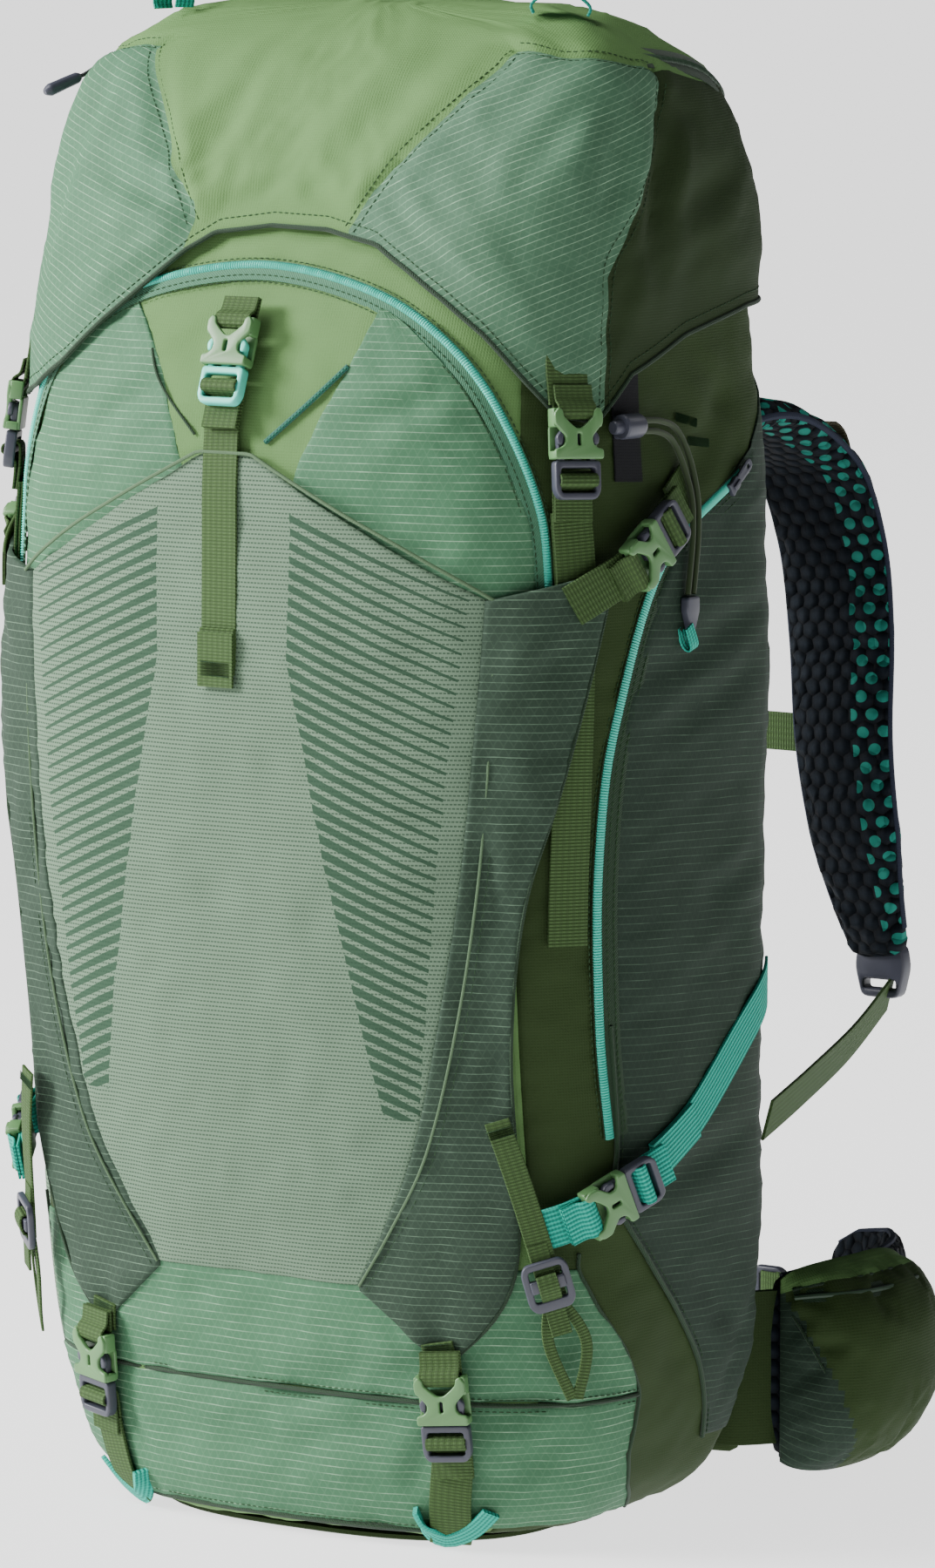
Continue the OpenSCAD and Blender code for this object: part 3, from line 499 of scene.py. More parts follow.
def webbing(name, base, ribs_along=False):
    """Woven tape: cross ribs in columns, or lengthwise ribs. u runs along the tape and v across it."""
    s = Shader(name, 0.75)
    p = s.place()
    u, v, _ = s.axes(p)
    cross = s.wave(u, 0.0016)
    columns = s.wave(v, 0.0031)
    fine = s.wave(v, 0.0008)
    if ribs_along:
        height = s.math("MULTIPLY_ADD", s.wave(v, 0.0022), 1.0, s.math("MULTIPLY", cross, 0.35))
    else:
        height = s.math("MULTIPLY", s.math("MULTIPLY_ADD", cross, 0.75, 0.25),
                        s.math("MULTIPLY_ADD", columns, 0.5, 0.5))
        height = s.math("MULTIPLY_ADD", fine, 0.15, height)
    grain = s.noise(p, 0.0015, 2.0)
    # Colour that follows the ribs' height, darker in the valleys and lighter on the ridges: painted shade and painted
    # highlight, with some random grain.
    painted_rib_shading = s.math("MULTIPLY_ADD", height, 0.8, s.math("MULTIPLY", grain, 0.2))
    return s.done(s.mix(painted_rib_shading, scaled(base, 0.42), scaled(base, 1.2)), height, 0.0004, 1.0)


def plastic(name, base, roughness=0.42, metallic=0.0):
    """Moulded acetal with a fine spark-eroded grain and dulled patches."""
    s = Shader(name, roughness, specular=0.45)
    s.put(s.bsdf.inputs["Metallic"], metallic)
    p = s.place(uv=False)
    grain = s.noise(p, 0.0005, 2.0)
    patches = s.noise(p, 0.012, 3.0)
    s.put(s.bsdf.inputs["Roughness"], s.math("MULTIPLY_ADD", patches, 0.2, roughness - 0.1))
    return s.done(s.mix(patches, scaled(base, 0.8), base), grain, 0.00005, 0.5)


def tape(name, base):
    """Zip tape: a fine twill."""
    s = Shader(name, 0.75, sheen=0.1)
    p = s.place()
    u, v, _ = s.axes(p)
    twill = s.wave(s.math("ADD", u, v), 0.0014)
    grain = s.noise(p, 0.002, 2.0)
    # The twill darkens the tape in its valleys: painted shade, mixed with random grain.
    return s.done(s.dye_and_shade(base, 0.6, (grain, 0.4), (twill, 0.5)), twill, 0.0002, 0.8)


def cord_weave(name, base, painted_groove_shade):
    """Braided cord. u runs along it and v round it."""
    s = Shader(name, 0.7, sheen=0.15)
    u, v, _ = s.axes(s.place())
    one = s.wave(s.math("ADD", u, v), 0.0022)
    two = s.wave(s.math("SUBTRACT", u, v), 0.0022)
    braid = s.math("MAXIMUM", one, two)
    # Darker in the grooves between the strands, where the braid's bump is low: painted shade.
    return s.done(s.mix(braid, painted_groove_shade, base), braid, 0.0003, 1.0)


def spacer_mesh(name, base, dot=None):
    """Puffy spacer mesh: a hexagonal net, with moulded dots along the outer edge where dot is given."""
    s = Shader(name, 0.85, specular=0.15)
    p = s.place()
    u, v, _ = s.axes(p)
    net = s.node("ShaderNodeTexVoronoi", {"Vector": p, "Scale": 1 / 0.0042, "Randomness": 0.35},
                 feature="F1").outputs["Distance"]
    cells = s.hexagons(u, v, 0.0088)
    grain = s.noise(p, 0.001, 2.0)
    cloth = s.mix(s.math("MULTIPLY", net, s.math("MULTIPLY_ADD", grain, 0.6, 0.25)), base, scaled(base, 1.7))
    height = s.math("MULTIPLY_ADD", cells, -6.0, s.math("MULTIPLY", net, -0.4))
    # Darker where the bump sinks between the raised cells: painted shade in the hollows.
    cloth = s.mix(s.math("MULTIPLY", cells, 3.0), cloth, scaled(base, 0.25))
    if dot:
        round_dot = s.math("MULTIPLY", s.math("LESS_THAN", s.hexagons(u, v, 0.0105), 0.085),
                           s.math("GREATER_THAN", v, 0.010))
        cloth = s.mix(round_dot, cloth, dot)
        height = s.math("MULTIPLY_ADD", round_dot, 0.8, height)
    return s.done(cloth, height, 0.0016, 1.0)


def floor_paint():
    s = Shader("studio_floor", 0.9, specular=0.1)
    grain = s.noise(s.place(uv=False), 0.4, 2.0)
    s.put(s.bsdf.inputs["Emission Color"], (1.0, 1.0, 1.0, 1.0))
    s.put(s.bsdf.inputs["Emission Strength"], 1.75)
    return s.done(s.mix(grain, rgb(150, 150, 150), rgb(158, 158, 158)))


GREEN_LINE = rgb(140, 176, 144)
SAGE, SAGE_DASH = rgb(104, 127, 105), rgb(46, 68, 52)
# Materials, sorted by the CAD's material slot that each goes under
SLOTS = {
    "ripstop": {
        "ripstop": ripstop("ripstop_green", rgb(70, 116, 84), GREEN_LINE),
        "ripstop_lid": ripstop("ripstop_lid", rgb(74, 112, 86), GREEN_LINE, turn=-28),
        "ripstop_lid_left": ripstop("ripstop_lid_left", rgb(72, 116, 86), GREEN_LINE, turn=20),
        # A darker, greyer copy of the ripstop for the pocket wings: painted shade.
        "ripstop_wing_painted_shade": ripstop("ripstop_wing_painted_shade", rgb(47, 66, 52), rgb(100, 126, 104)),
        # A darker copy of the ripstop for the sides and the hip pockets' ends: painted shade.
        "ripstop_side_painted_shade": ripstop("ripstop_side_painted_shade", rgb(36, 54, 42), rgb(72, 94, 76), turn=4),
        "thread": plain_cloth("sewing_thread", rgb(44, 70, 44)),
    },
    "plain_fabric": {
        "plain": plain_cloth("packcloth_green", rgb(92, 128, 74)),
        # A darker copy of the green packcloth for the sides, back, base, hip pockets and hip belt: painted shade.
        "plain_painted_shade": plain_cloth("packcloth_painted_shade", rgb(44, 62, 28)),
        # A darker copy of the packcloth for the lid's sides and back: painted shade.
        "plain_lid_painted_shade": plain_cloth("packcloth_lid_painted_shade", rgb(36, 52, 24)),
    },
    "lining": {"lining": plain_cloth("lining_pale", rgb(140, 156, 128))},
    "black_fabric": {"black": plain_cloth("patch_black", rgb(26, 27, 30))},
    "stretch_weave": {
        "sage": stretch_weave("stretch_pocket_knit", SAGE, SAGE_DASH, rgb(36, 64, 46)),
        "sage_plain": stretch_weave("stretch_side_knit", SAGE, SAGE_DASH),
        "sage_binding": plain_cloth("sage_binding", rgb(84, 108, 80)),
    },
    "olive_webbing": {
        "olive": webbing("olive_webbing", rgb(62, 86, 46)),
        "brown": webbing("brown_webbing", rgb(66, 62, 44)),
    },
    "teal_trim": {
        "teal": webbing("teal_webbing", rgb(34, 156, 136), ribs_along=True),
        "teal_coil": plastic("teal_coil", rgb(60, 190, 168), 0.5),
        "teal_cord": cord_weave("cord_teal", rgb(30, 96, 78), rgb(20, 64, 54)),
    },
    "dark_tape": {
        "teal_tape": tape("teal_zip_tape", rgb(72, 120, 92)),
        "dark_tape": tape("dark_zip_tape", rgb(36, 60, 38)),
        "dark_coil": plastic("dark_coil", rgb(44, 66, 48), 0.5),
    },
    "green_plastic": {"green_plastic": plastic("buckle_green", rgb(88, 130, 80))},
    "charcoal_plastic": {"charcoal": plastic("buckle_charcoal", rgb(62, 64, 76))},
    "alloy": {"alloy": plastic("frame_alloy", rgb(176, 178, 180), 0.35, metallic=1.0)},
    "teal_plastic": {"teal_plastic": plastic("buckle_teal", rgb(88, 210, 190))},
    "black_cord": {"black_cord": cord_weave("cord_black", rgb(40, 42, 44), rgb(20, 20, 22))},
    "olive_cord": {"olive_cord": cord_weave("cord_olive", rgb(48, 64, 34), rgb(28, 38, 22))},
    "navy_mesh": {
        "mesh": spacer_mesh("spacer_mesh", rgb(15, 22, 29)),
        "mesh_dots": spacer_mesh("spacer_mesh_dots", rgb(15, 22, 29), rgb(26, 118, 104)),
        "navy_binding": plain_cloth("navy_binding", rgb(40, 46, 62)),
    },
}
MATERIALS = {key: (material, slot) for slot, group in SLOTS.items() for key, material in group.items()}


# ---------------------------------------------------------------------------------------------- sewn cloth panels
def edge(points, count=60):
    """A panel's edge as (angle, height) pairs, from given points."""
    p = even(smooth(points), count)
    return np.stack([angle_of(p), p[:, 2]], -1)


def spaced(length, pitch):
    """Shares from 0 to 1, a pitch apart in the middle and close together at both edges."""
    close = np.array([0, 0.7, 1.6, 3.0]) / length
    if length < 12:
        return np.linspace(0, 1, 5)
    middle = np.linspace(close[-1], 1 - close[-1], max(3, int(length / pitch)))
    return np.concatenate([close[:-1], middle, (1 - close[:-1])[::-1]])


def coons(bottom, top, left, right, us, vs):
    """A net between four edges, each given at the shares us or vs."""
    u, v = us[None, :, None], vs[:, None, None]
    b, t, l, r = bottom[None], top[None], left[:, None], right[:, None]
    corners = ((1 - u) * (1 - v) * bottom[0] + u * (1 - v) * bottom[-1]
               + (1 - u) * v * top[0] + u * v * top[-1])
    return (1 - v) * b + v * t + (1 - u) * l + u * r - corners


def ridges(points, size, seed):
    """Creased noise from -1 to 1, with soft hollows between sharper ridges."""
    return 1 - 4 * np.abs(rumple(points, size, seed))


def fold_depth(points, folds):
    """How far creases push a cloth in or out. A fold is a start, an end, a depth and a width."""
    total = np.zeros(points.shape[:-1])
    for start, end, depth, width in folds:
        a, b = np.asarray(start, float), np.asarray(end, float)
        t = np.clip((points - a) @ (b - a) / ((b - a) @ (b - a)), 0, 1)
        off = np.linalg.norm(points - a - t[..., None] * (b - a), axis=-1)
        taper = np.sqrt(np.clip(4 * t * (1 - t), 0, 1)) * 0.8 + 0.2
        total += depth * taper * (0.6 * np.exp(-((off - 1.7 * width) / width) ** 2) - np.exp(-(off / width) ** 2))
    return total


EDGE_ROLL = 2.0
# Creases of the body on both sides: start, end, depth and width
SIDE_FOLDS = [((172, -40, 470), (168, 60, 560), 2.0, 9), ((170, 0, 590), (172, 60, 545), 1.8, 8),
              ((160, -60, 130), (150, -40, 60), 1.4, 8), ((172, 60, 246), (174, 20, 330), 1.8, 9),
              ((168, 70, 90), (170, 20, 130), 2.0, 8), ((160, 85, 120), (166, 60, 60), 2.0, 8),
              ((140, -90, 520), (120, -100, 470), 1.4, 7), ((75, -110, 575), (105, -104, 540), 1.2, 7),
              ((176, 60, 420), (177, -20, 400), 1.2, 9), ((176, 70, 330), (177, 0, 300), 1.2, 8),
              ((100, -93, 100), (104, -104, 170), 1.8, 7), ((98, -94, 102), (84, -106, 150), 1.4, 6),
              ((97, -94, 96), (60, -99, 82), 1.6, 7), ((97, -92, 60), (75, -92, 28), 1.4, 7),
              ((60, -100, 60), (10, -96, 40), 1.0, 8), ((-50, -100, 120), (20, -100, 112), 1.0, 7),
              ((150, -60, 60), (120, -80, 30), 1.4, 8)]
# Creases that only one side has
BODY_FOLDS = [((66, -124, 539), (120, -101, 570), 1.8, 7), ((78, -119, 554), (132, -97, 553), 1.2, 6),
              ((-83, -120, 542), (-47, -121, 561), 1.4, 7), ((-124, -83, 98), (-30, -104, 120), 1.8, 8),
              ((-2, -100, 70), (59, -100, 90), 1.6, 8), ((149, -69, 124), (162, -28, 68), 1.8, 9),
              ((93, -91, 62), (146, -65, 81), 1.6, 8), ((-63, -95, 45), (12, -98, 46), 1.4, 9),
              ((175, 55, 193), (167, -52, 174), 1.8, 9), ((176, 59, 449), (176, -36, 424), 1.6, 10)]
WING_FOLDS = [((132, -100, 470), (128, -106, 330), 1.6, 7), ((128, -106, 330), (112, -108, 220), 1.4, 7),
              ((164, -68, 470), (138, -100, 400), 2.4, 8), ((166, -62, 474), (134, -104, 445), 2.0, 7),
              ((140, -95, 300), (126, -108, 340), 1.8, 8), ((138, -95, 240), (120, -108, 215), 1.8, 8),
              ((150, -88, 350), (132, -104, 385), 1.6, 7), ((136, -92, 180), (118, -104, 160), 1.4, 7)]


def drape(q):
    """Wrinkles of the whole body, the same for every layer so that none comes through another."""
    soft = 1.7 * rumple(q, 52, 7) + 0.5 * ridges(q * [1, 1, 1.8], 26, 8) + 0.22 * ridges(q * [1, 1, 1.5], 12, 9)
    both = np.stack([np.abs(q[..., 0]), q[..., 1], q[..., 2]], -1)
    return soft + fold_depth(both, SIDE_FOLDS) + fold_depth(q, BODY_FOLDS)


def panel(name, bottom, top, left, right, key, nodes=(), lift=-0.6, thick=0.9, drop=0.8, puff=0.0, crumple=None,
          size=34, folds=(), pitch=4.5, rise=None, pucker=0.25, mirror=False, seed=1, hem=0.0):
    """A sewn panel of cloth on the bag between four edges, with rolled seams, puckers and soft wrinkles.

    bottom and top run to the right as seen from outside, left and right run up. mirror puts it on the left side.
    Without crumple it takes the wrinkles of the body, else it gets its own of that strength and size.
    """
    samples = 60
    at = np.linspace(0, 1, samples)
    b, t, l, r = [even(line, samples) for line in (bottom, top, left, right)]
    wide = 0.5 * sum(length_of(bag_at(line[:, 1], line[:, 0])) for line in (b, t))
    high = 0.5 * sum(length_of(bag_at(line[:, 1], line[:, 0])) for line in (l, r))
    us, vs = spaced(wide, pitch), spaced(high, pitch)

    def picked(line, shares):
        return np.stack([np.interp(shares, at, line[:, k]) for k in (0, 1)], -1)

    net = coons(picked(b, us), picked(t, us), picked(l, vs), picked(r, vs), us, vs)
    angle, z = net[..., 0], net[..., 1]
    base = bag_at(z, angle)
    out = bag_normal(base)
    u, v = np.meshgrid(us, vs)
    from_side = np.minimum(u, 1 - u) * wide
    from_end = np.minimum(v, 1 - v) * high
    from_edge = np.minimum(from_side, from_end)
    roll = np.clip(from_edge / EDGE_ROLL, 0, 1)
    d = lift - drop * (1 - np.sqrt(1 - (1 - roll) ** 2))
    d = d + puff * np.clip(4 * u * (1 - u), 0, 1) ** 0.7 * np.clip(4 * v * (1 - v), 0, 1) ** 0.7
    inside = ease(from_edge, 0, 14)
    if crumple is None:
        d = d + drape(flip(base) if mirror else base)
    else:
        creased = ridges(base * [1, 1, 1.7], size * 0.55, seed + 1)
        d = d + crumple * inside * (1.8 * rumple(base, size, seed) + 0.5 * creased)
    along = np.where(from_side < from_end, v * high, u * wide)
    d = d + pucker * np.exp(-from_edge / 7) * roll * np.sin(along / 2.1 + 3 * rumple(base, 30, seed + 2))
    d = d + fold_depth(base, folds) * inside
    if rise is not None:
        d = d + rise(base)
    if hem:
        d = d + 0.5 * ease(hem - (1 - u) * wide, -0.5, 0.5)
    part = (*slab(base + out * d[..., None], base + out * (d - thick)[..., None]),
            np.tile(cloth_uv(angle, z), (2, 1)))
    return piece(name, [twin(part) if mirror else part], "root", key, *nodes)


# -------------------------------------------------------------------------------------------- strips and tubes
def strip_net(path, across, lift, step):
    """Grid along a path on the bag, with columns at the given distances to the left of the way, and its uv."""
    way = smooth(path)
    at = lifted(even(way, max(3, int(length_of(way) / step))))
    out = bag_normal(at)
    side = unit(np.cross(out, np.gradient(at, axis=0)))
    run = run_of(at)
    across = np.asarray(across, float)
    flat = at[:, None] + side[:, None] * across[None, :, None]
    base = bag_at(flat[..., 2], angle_of(flat))
    lift = np.broadcast_to(np.asarray(lift, float), base.shape[:-1])
    uv = uv_grid(run[:, None], across[None]).reshape(*base.shape[:-1], 2)
    return base + bag_normal(base) * lift[..., None], bag_normal(base), uv


def tape_section(width):
    """Distances across a tape with softened edges."""
    half = width / 2
    return np.array([-half, -half + 0.35, -half + 1.2, -half / 2, 0, half / 2, half - 1.2, half - 0.35, half])


def edge_dip(across, deep):
    """How far a tape's section is thinned at its edges."""
    ends = np.maximum(across[0] - across, across - across[-1]) + 0.35
    return deep * np.clip(ends / 0.35, 0, 1)


def turned_grid(grid):
    """A grid whose rows run along a strip, with its columns reversed so that it faces outwards."""
    return grid[:, ::-1]


def strip_slab(top, bottom, uv):
    """Points, faces and uv of a strip between its upper and its lower grid."""
    flat = turned_grid(uv).reshape(-1, 2)
    return (*slab(turned_grid(top), turned_grid(bottom)), np.tile(flat, (2, 1)))


def strip_part(path, width, low, thick, across=None, wave=0.0):
    """Points, faces and uv of a tape lying on the bag."""
    across = tape_section(width) if across is None else across
    dip = edge_dip(across, thick * 0.3)
    top, out, uv = strip_net(path, across, low + thick - dip[None], step=3)
    bottom, _, _ = strip_net(path, across, low + dip[None], step=3)
    if wave:
        bend = wave * np.sin(uv[..., :1] / 0.017)
        top, bottom = top + out * bend, bottom + out * bend
    return strip_slab(top, bottom, uv)


def along_and_side(way, across):
    """Unit directions along a line through free space and across it."""
    along = unit(np.gradient(way, axis=0))
    across = np.asarray(across, float)
    return along, unit(across - along * (along @ across)[:, None])


def band_part(path, across, width, thick, step=3.0):
    """Points, faces and uv of a tape through free space. across is the direction of its width."""
    way = smooth(path)
    way = even(way, max(3, int(length_of(way) / step)))
    along, side = along_and_side(way, across)
    out = unit(np.cross(along, side))
    s = tape_section(width)
    flat = way[:, None] + side[:, None] * s[None, :, None]
    half = (thick / 2 - edge_dip(s, thick * 0.3))[None, :, None]
    uv = uv_grid(run_of(way)[:, None], s[None])
    return (*slab(flat + out[:, None] * half, flat - out[:, None] * half), np.tile(uv, (2, 1)))


def tube_part(path, radius, sides=8, caps=True):
    """Points, faces and uv of a tube. radius is one number or one a point."""
    p = np.asarray(path, float)
    along = unit(np.gradient(p, axis=0))
    side = [unit(np.cross(along[0], UP if abs(along[0] @ UP) < 0.95 else X_AXIS))]
    for t in along[1:]:
        side.append(unit(side[-1] - t * (side[-1] @ t)))
    side = np.array(side)
    up = np.cross(side, along)
    a = np.linspace(0, 2 * math.pi, sides, endpoint=False)
    r = np.broadcast_to(np.asarray(radius, float), len(p))[:, None, None]
    rings = p[:, None] + r * (side[:, None] * np.cos(a)[None, :, None] + up[:, None] * np.sin(a)[None, :, None])
    faces = grid_faces(len(p), sides, closed=True) + (end_caps(len(p), sides) if caps else [])
    return rings.reshape(-1, 3), faces, uv_grid(run_of(p)[:, None], a[None] * float(np.max(radius)))


def stitch_parts(path, left=0.0, lift=0.2, pitch=3.4, long=2.3, radius=0.32, on_bag=True):
    """A row of stitches beside a path on the bag, or along a path in space."""
    if on_bag:
        line = strip_net(path, [left], lift, step=1.2)[0][:, 0]
    else:
        line = even(path, max(3, int(length_of(path) / 1.2)))
    run = run_of(line)
    parts = []
    for start in np.arange(0.5, length_of(line) - long, pitch):
        at = start + np.array([0, 0.18, 0.5, 0.82, 1]) * long
        p = np.stack([np.interp(at, run, line[:, k]) for k in range(3)], -1)
        parts.append(tube_part(p, radius * np.array([0.4, 0.9, 1.0, 0.9, 0.4]), sides=5))
    return parts


def bartack_parts(place, towards, width, lift, rows=5):
    """A block of zigzag stitching across a tape."""
    at, x, y, _ = seat(place, towards, lift)
    line = [at + x * 0.4 * k + y * (width / 2) * (1 if k % 2 else -1) for k in range(rows * 6)]
    return [tube_part(line, 0.28, sides=5)]


def seat(place, towards, lift=0.0):
    """Where a fitting stands on the bag: its point, the way it points, its left and the outward direction."""
    at = lifted(place, lift)
    z = bag_normal(lifted(place))
    run = lifted(towards, lift) - at
    x = unit(run - z * (run @ z))
    return at, x, np.cross(z, x), z


def at_seat(part, place, mirror=False):
    """A part made in a fitting's own frame, moved to its seat, or to the one on the other side."""
    points, faces, uv = part
    at, *axes = seat(*place)
    moved = (np.asarray(points, float) @ np.array(axes) + at, faces, uv)
    return twin(moved) if mirror else moved


# -------------------------------------------------------------------------------------------- moulded fittings
def rounded(corners, radius, steps=4):
    """A polygon's outline with its corners rounded."""
    p = np.asarray(corners, float)
    out = []
    for i in range(len(p)):
        a, b, c = p[i - 1], p[i], p[(i + 1) % len(p)]
        r = min(radius, 0.45 * np.linalg.norm(a - b), 0.45 * np.linalg.norm(c - b))
        start, end = b + unit(a - b) * r, b + unit(c - b) * r
        for t in np.linspace(0, 1, steps):
            out.append((1 - t) ** 2 * start + 2 * t * (1 - t) * b + t * t * end)
    return np.array(out)


def plate(outline, low, high, holes=(), bevel=0.6):
    """Points and faces of a moulded plate with rounded edges. Its outline and holes are flat outlines."""
    curve = bpy.data.curves.new("plate", "CURVE")
    curve.dimensions = "2D"
    curve.fill_mode = "BOTH"
    curve.extrude = (high - low) / 2 - bevel
    curve.bevel_depth = bevel
    curve.bevel_resolution = 2
    curve.offset = -bevel
    for loop in (outline, *holes):
        spline = curve.splines.new("POLY")
        spline.points.add(len(loop) - 1)
        for point, (x, y) in zip(spline.points, loop):
            point.co = (x, y, 0, 1)
        spline.use_cyclic_u = True
    holder = bpy.data.objects.new("plate", curve)
    bpy.context.scene.collection.objects.link(holder)
    bpy.context.view_layer.update()
    made = bpy.data.meshes.new_from_object(holder)
    work = bmesh.new()
    work.from_mesh(made)
    bmesh.ops.remove_doubles(work, verts=work.verts, dist=0.001)
    bmesh.ops.recalc_face_normals(work, faces=work.faces)
    work.verts.index_update()
    points = np.array([v.co[:] for v in work.verts]) + [0, 0, (high + low) / 2]
    faces = [tuple(v.index for v in f.verts) for f in work.faces]
    work.free()
    bpy.data.objects.remove(holder)
    bpy.data.meshes.remove(made)
    bpy.data.curves.remove(curve)
    return points, faces, None


def box_outline(x0, x1, y0, y1, radius=1.5):
    return rounded([(x0, y0), (x1, y0), (x1, y1), (x0, y1)], radius)


def both_sides(half):
    """A closed outline from its half with y above zero, mirrored about the x axis."""
    half = [tuple(p) for p in half]
    return half + [(x, -y) for x, y in half[::-1]]


def buckle_female_parts():
    """Outer half of a side release buckle: two plates, side walls with windows, horns and a bar for the tape."""
    top = rounded(both_sides([(4, 12.8), (-0.6, 12.8), (-1.4, 9.4), (-3.2, 7.4), (-6.4, 7.0), (-9.2, 9.4),
                              (-12.5, 12.6), (-17.5, 12.8), (-20.4, 10.6), (-19.0, 8.2), (-16.2, 8.0),
                              (-13.0, 4.6), (-10.5, 1.4)]), 1.3)
    slot = rounded([(-8, 0.9), (-8, -0.9), (-2.5, -0.9), (-2.5, 0.9)], 0.8)
    parts = [plate(top, 6.3, 9.0, [slot], 0.8),
             plate(box_outline(-12, 4, -12.6, 12.6, 2), 0.5, 2.2, bevel=0.5),
             plate(box_outline(-20, -16.6, -12, 12, 1.4), 3.2, 6.6, bevel=1.0)]
    for s in (-1, 1):
        parts.append(plate(box_outline(0, 4, s * 11.6 - 1.3, s * 11.6 + 1.3, 0.8), 1.6, 7.6, bevel=0.5))
        parts.append(plate(box_outline(-20, -11, s * 11.3 - 1.5, s * 11.3 + 1.5, 1.0), 1.2, 7.6, bevel=0.7))
    return parts


def buckle_male_parts():
    """Inner half: a frame with two slots for its tape, a guide tongue and two sprung arms."""
    body = rounded(both_sides([(4.6, 12), (19, 12), (23, 9.5)]), 2.2)
    slots = [box_outline(8.2, 12.4, -9, 9, 1.4), box_outline(15.4, 19.6, -9, 9, 1.4)]
    arm = [(5.6, 9.6), (-2.0, 9.9), (-6.5, 10.2), (-9.6, 7.6), (-8.2, 5.2), (-3.0, 6.6), (5.6, 6.4)]
    parts = [plate(body, 1.5, 7.0, slots, 0.9),
             plate(box_outline(-9.5, 6, -2.6, 2.6, 1.2), 2.4, 5.2, bevel=0.6)]
    for s in (-1, 1):
        parts.append(plate(rounded([(x, s * y) for x, y in arm], 1.2), 2.4, 5.9, bevel=0.6))
        cheek = [(-2.6, s * 8.0), (-2.6, s * 10.6), (-6.6, s * 11.4), (-9.8, s * 8.8), (-8.6, s * 7.4)]
        parts.append(plate(rounded(cheek, 1.4), 5.0, 7.8, bevel=0.9))
    return parts


def ladder_parts():
    """A ladder lock: a frame with two slots and a lifted lip."""
    frame_outline = rounded(both_sides([(-12, 9), (-8, 11.5), (9, 11.5), (13, 8.5)]), 2.2)
    slots = [box_outline(-8.5, -3.2, -8, 8, 1.4), box_outline(2, 7.6, -8, 8, 1.4)]
    lip = box_outline(-3.8, 2.6, -8.6, 8.6, 1.0)
    return [plate(frame_outline, 0, 3.2, slots, 0.8), plate(lip, 0.8, 4.4, bevel=0.9)]


def slider_parts():
    """A zip slider: a waisted body, a bridge and a hanging pull."""
    body = rounded(both_sides([(-4.6, 3.6), (-1, 2.7), (2, 3.2), (4.6, 2.6)]), 1.2)
    pull = rounded(both_sides([(3.2, 1.6), (6, 2.5), (17, 2.9), (20, 1.8)]), 1.2)
    hole = rounded([(14.5, 1), (14.5, -1), (17.3, -1), (17.3, 1)], 0.9)
    return [plate(body, 0.0, 2.6, bevel=0.6), plate(box_outline(-2.5, 4.2, -1, 1, 0.6), 2.2, 3.6, bevel=0.4),
            plate(pull, 1.0, 2.3, [hole], 0.4)]


TEMPLATES = {"female": buckle_female_parts(), "male": buckle_male_parts(), "ladder": ladder_parts(),
             "slider": slider_parts()}


def fitting_parts(kind, place, mirror=False):
    """The parts of a fitting at its seat."""
    return [at_seat(part, place, mirror) for part in TEMPLATES[kind]]


# ------------------------------------------------------------------------------------------------ the bag's body
BODY_BOTTOM = 3.5
PANEL_TOP = 648
BACK_SEAM = 38
SHELL_LIFT = -1.5
POCKET_DIP = 14
SIDES = (("right", False), ("left", True))


def behind_pocket(q):
    """Rise of the front behind the stretch pocket, where it sinks."""
    u = np.minimum(np.abs(q[..., 0]) / 118, 1)
    return -POCKET_DIP * (1 - u ** 3) * ease(q[..., 2], 140, 250) * ease(535 - q[..., 2], 0, 90)


def seam_x(z):
    """How far to the side the front ends at a height."""
    return np.minimum(142, ring(z)[0] * 0.84)


def upright(angle, low, high, count=40):
    """An upright edge in a given direction, as (angle, height) pairs."""
    return np.stack([np.full(count, float(angle)), np.linspace(low, high, count)], -1)


def level(z, left, right, count=30):
    """A level edge between two directions."""
    return np.stack([np.linspace(left, right, count), np.full(count, float(z))], -1)


def between(left, right):
    """Four edges of a panel between two upright ones, cut level at both ends."""
    return (level(left[0, 1], left[0, 0], right[0, 0]), level(left[-1, 1], left[-1, 0], right[-1, 0]), left, right)


def joining(left, right):
    """Four edges of a panel between two upright ones, cut straight from end to end."""
    return np.array([left[0], right[0]]), np.array([left[-1], right[-1]]), left, right


def body_shell():
    """The plain cloth that everything else is sewn on to."""
    z = np.linspace(BODY_BOTTOM, PANEL_TOP, 40)
    seam_left, seam_right = [np.stack([front_angle(z, turn * seam_x(z)), z], -1) for turn in (-1, 1)]
    back, far = upright(BACK_SEAM, BODY_BOTTOM, PANEL_TOP), upright(180 - BACK_SEAM, BODY_BOTTOM, PANEL_TOP)
    shell = {"lift": SHELL_LIFT, "thick": 1.6}
    panel("front_shell", *between(seam_left, seam_right), "plain", ["front_panel"], pitch=5, rise=behind_pocket,
          **shell)
    # The sides and back take the darker copy of the packcloth, with painted shade.
    for side, mirror in SIDES:
        panel(f"side_shell_{side}", *between(seam_right, back), "plain_painted_shade", [f"side_panel_{side}"], pitch=5,
              mirror=mirror, seed=3, **shell)
    panel("back_shell", *between(back, far), "plain_painted_shade", ["back_panel"], pitch=6, seed=5, **shell)


ZIP_INNER = [(148, 380), (149, 440), (149, 477), (143, 514), (120, 561), (90, 590), (73, 600)]
CENTRE_SEAM = {"right": [(30, 496), (41, 530), (61, 573), (71, 600)],
               "left": [(22, 500), (30, 530), (47, 570), (70, 600)]}


def on_front(pairs):
    """Given (x, z) pairs on the front as (angle, height) pairs."""
    x, z = smooth(pairs).T
    return np.stack([front_angle(z, x), z], -1)


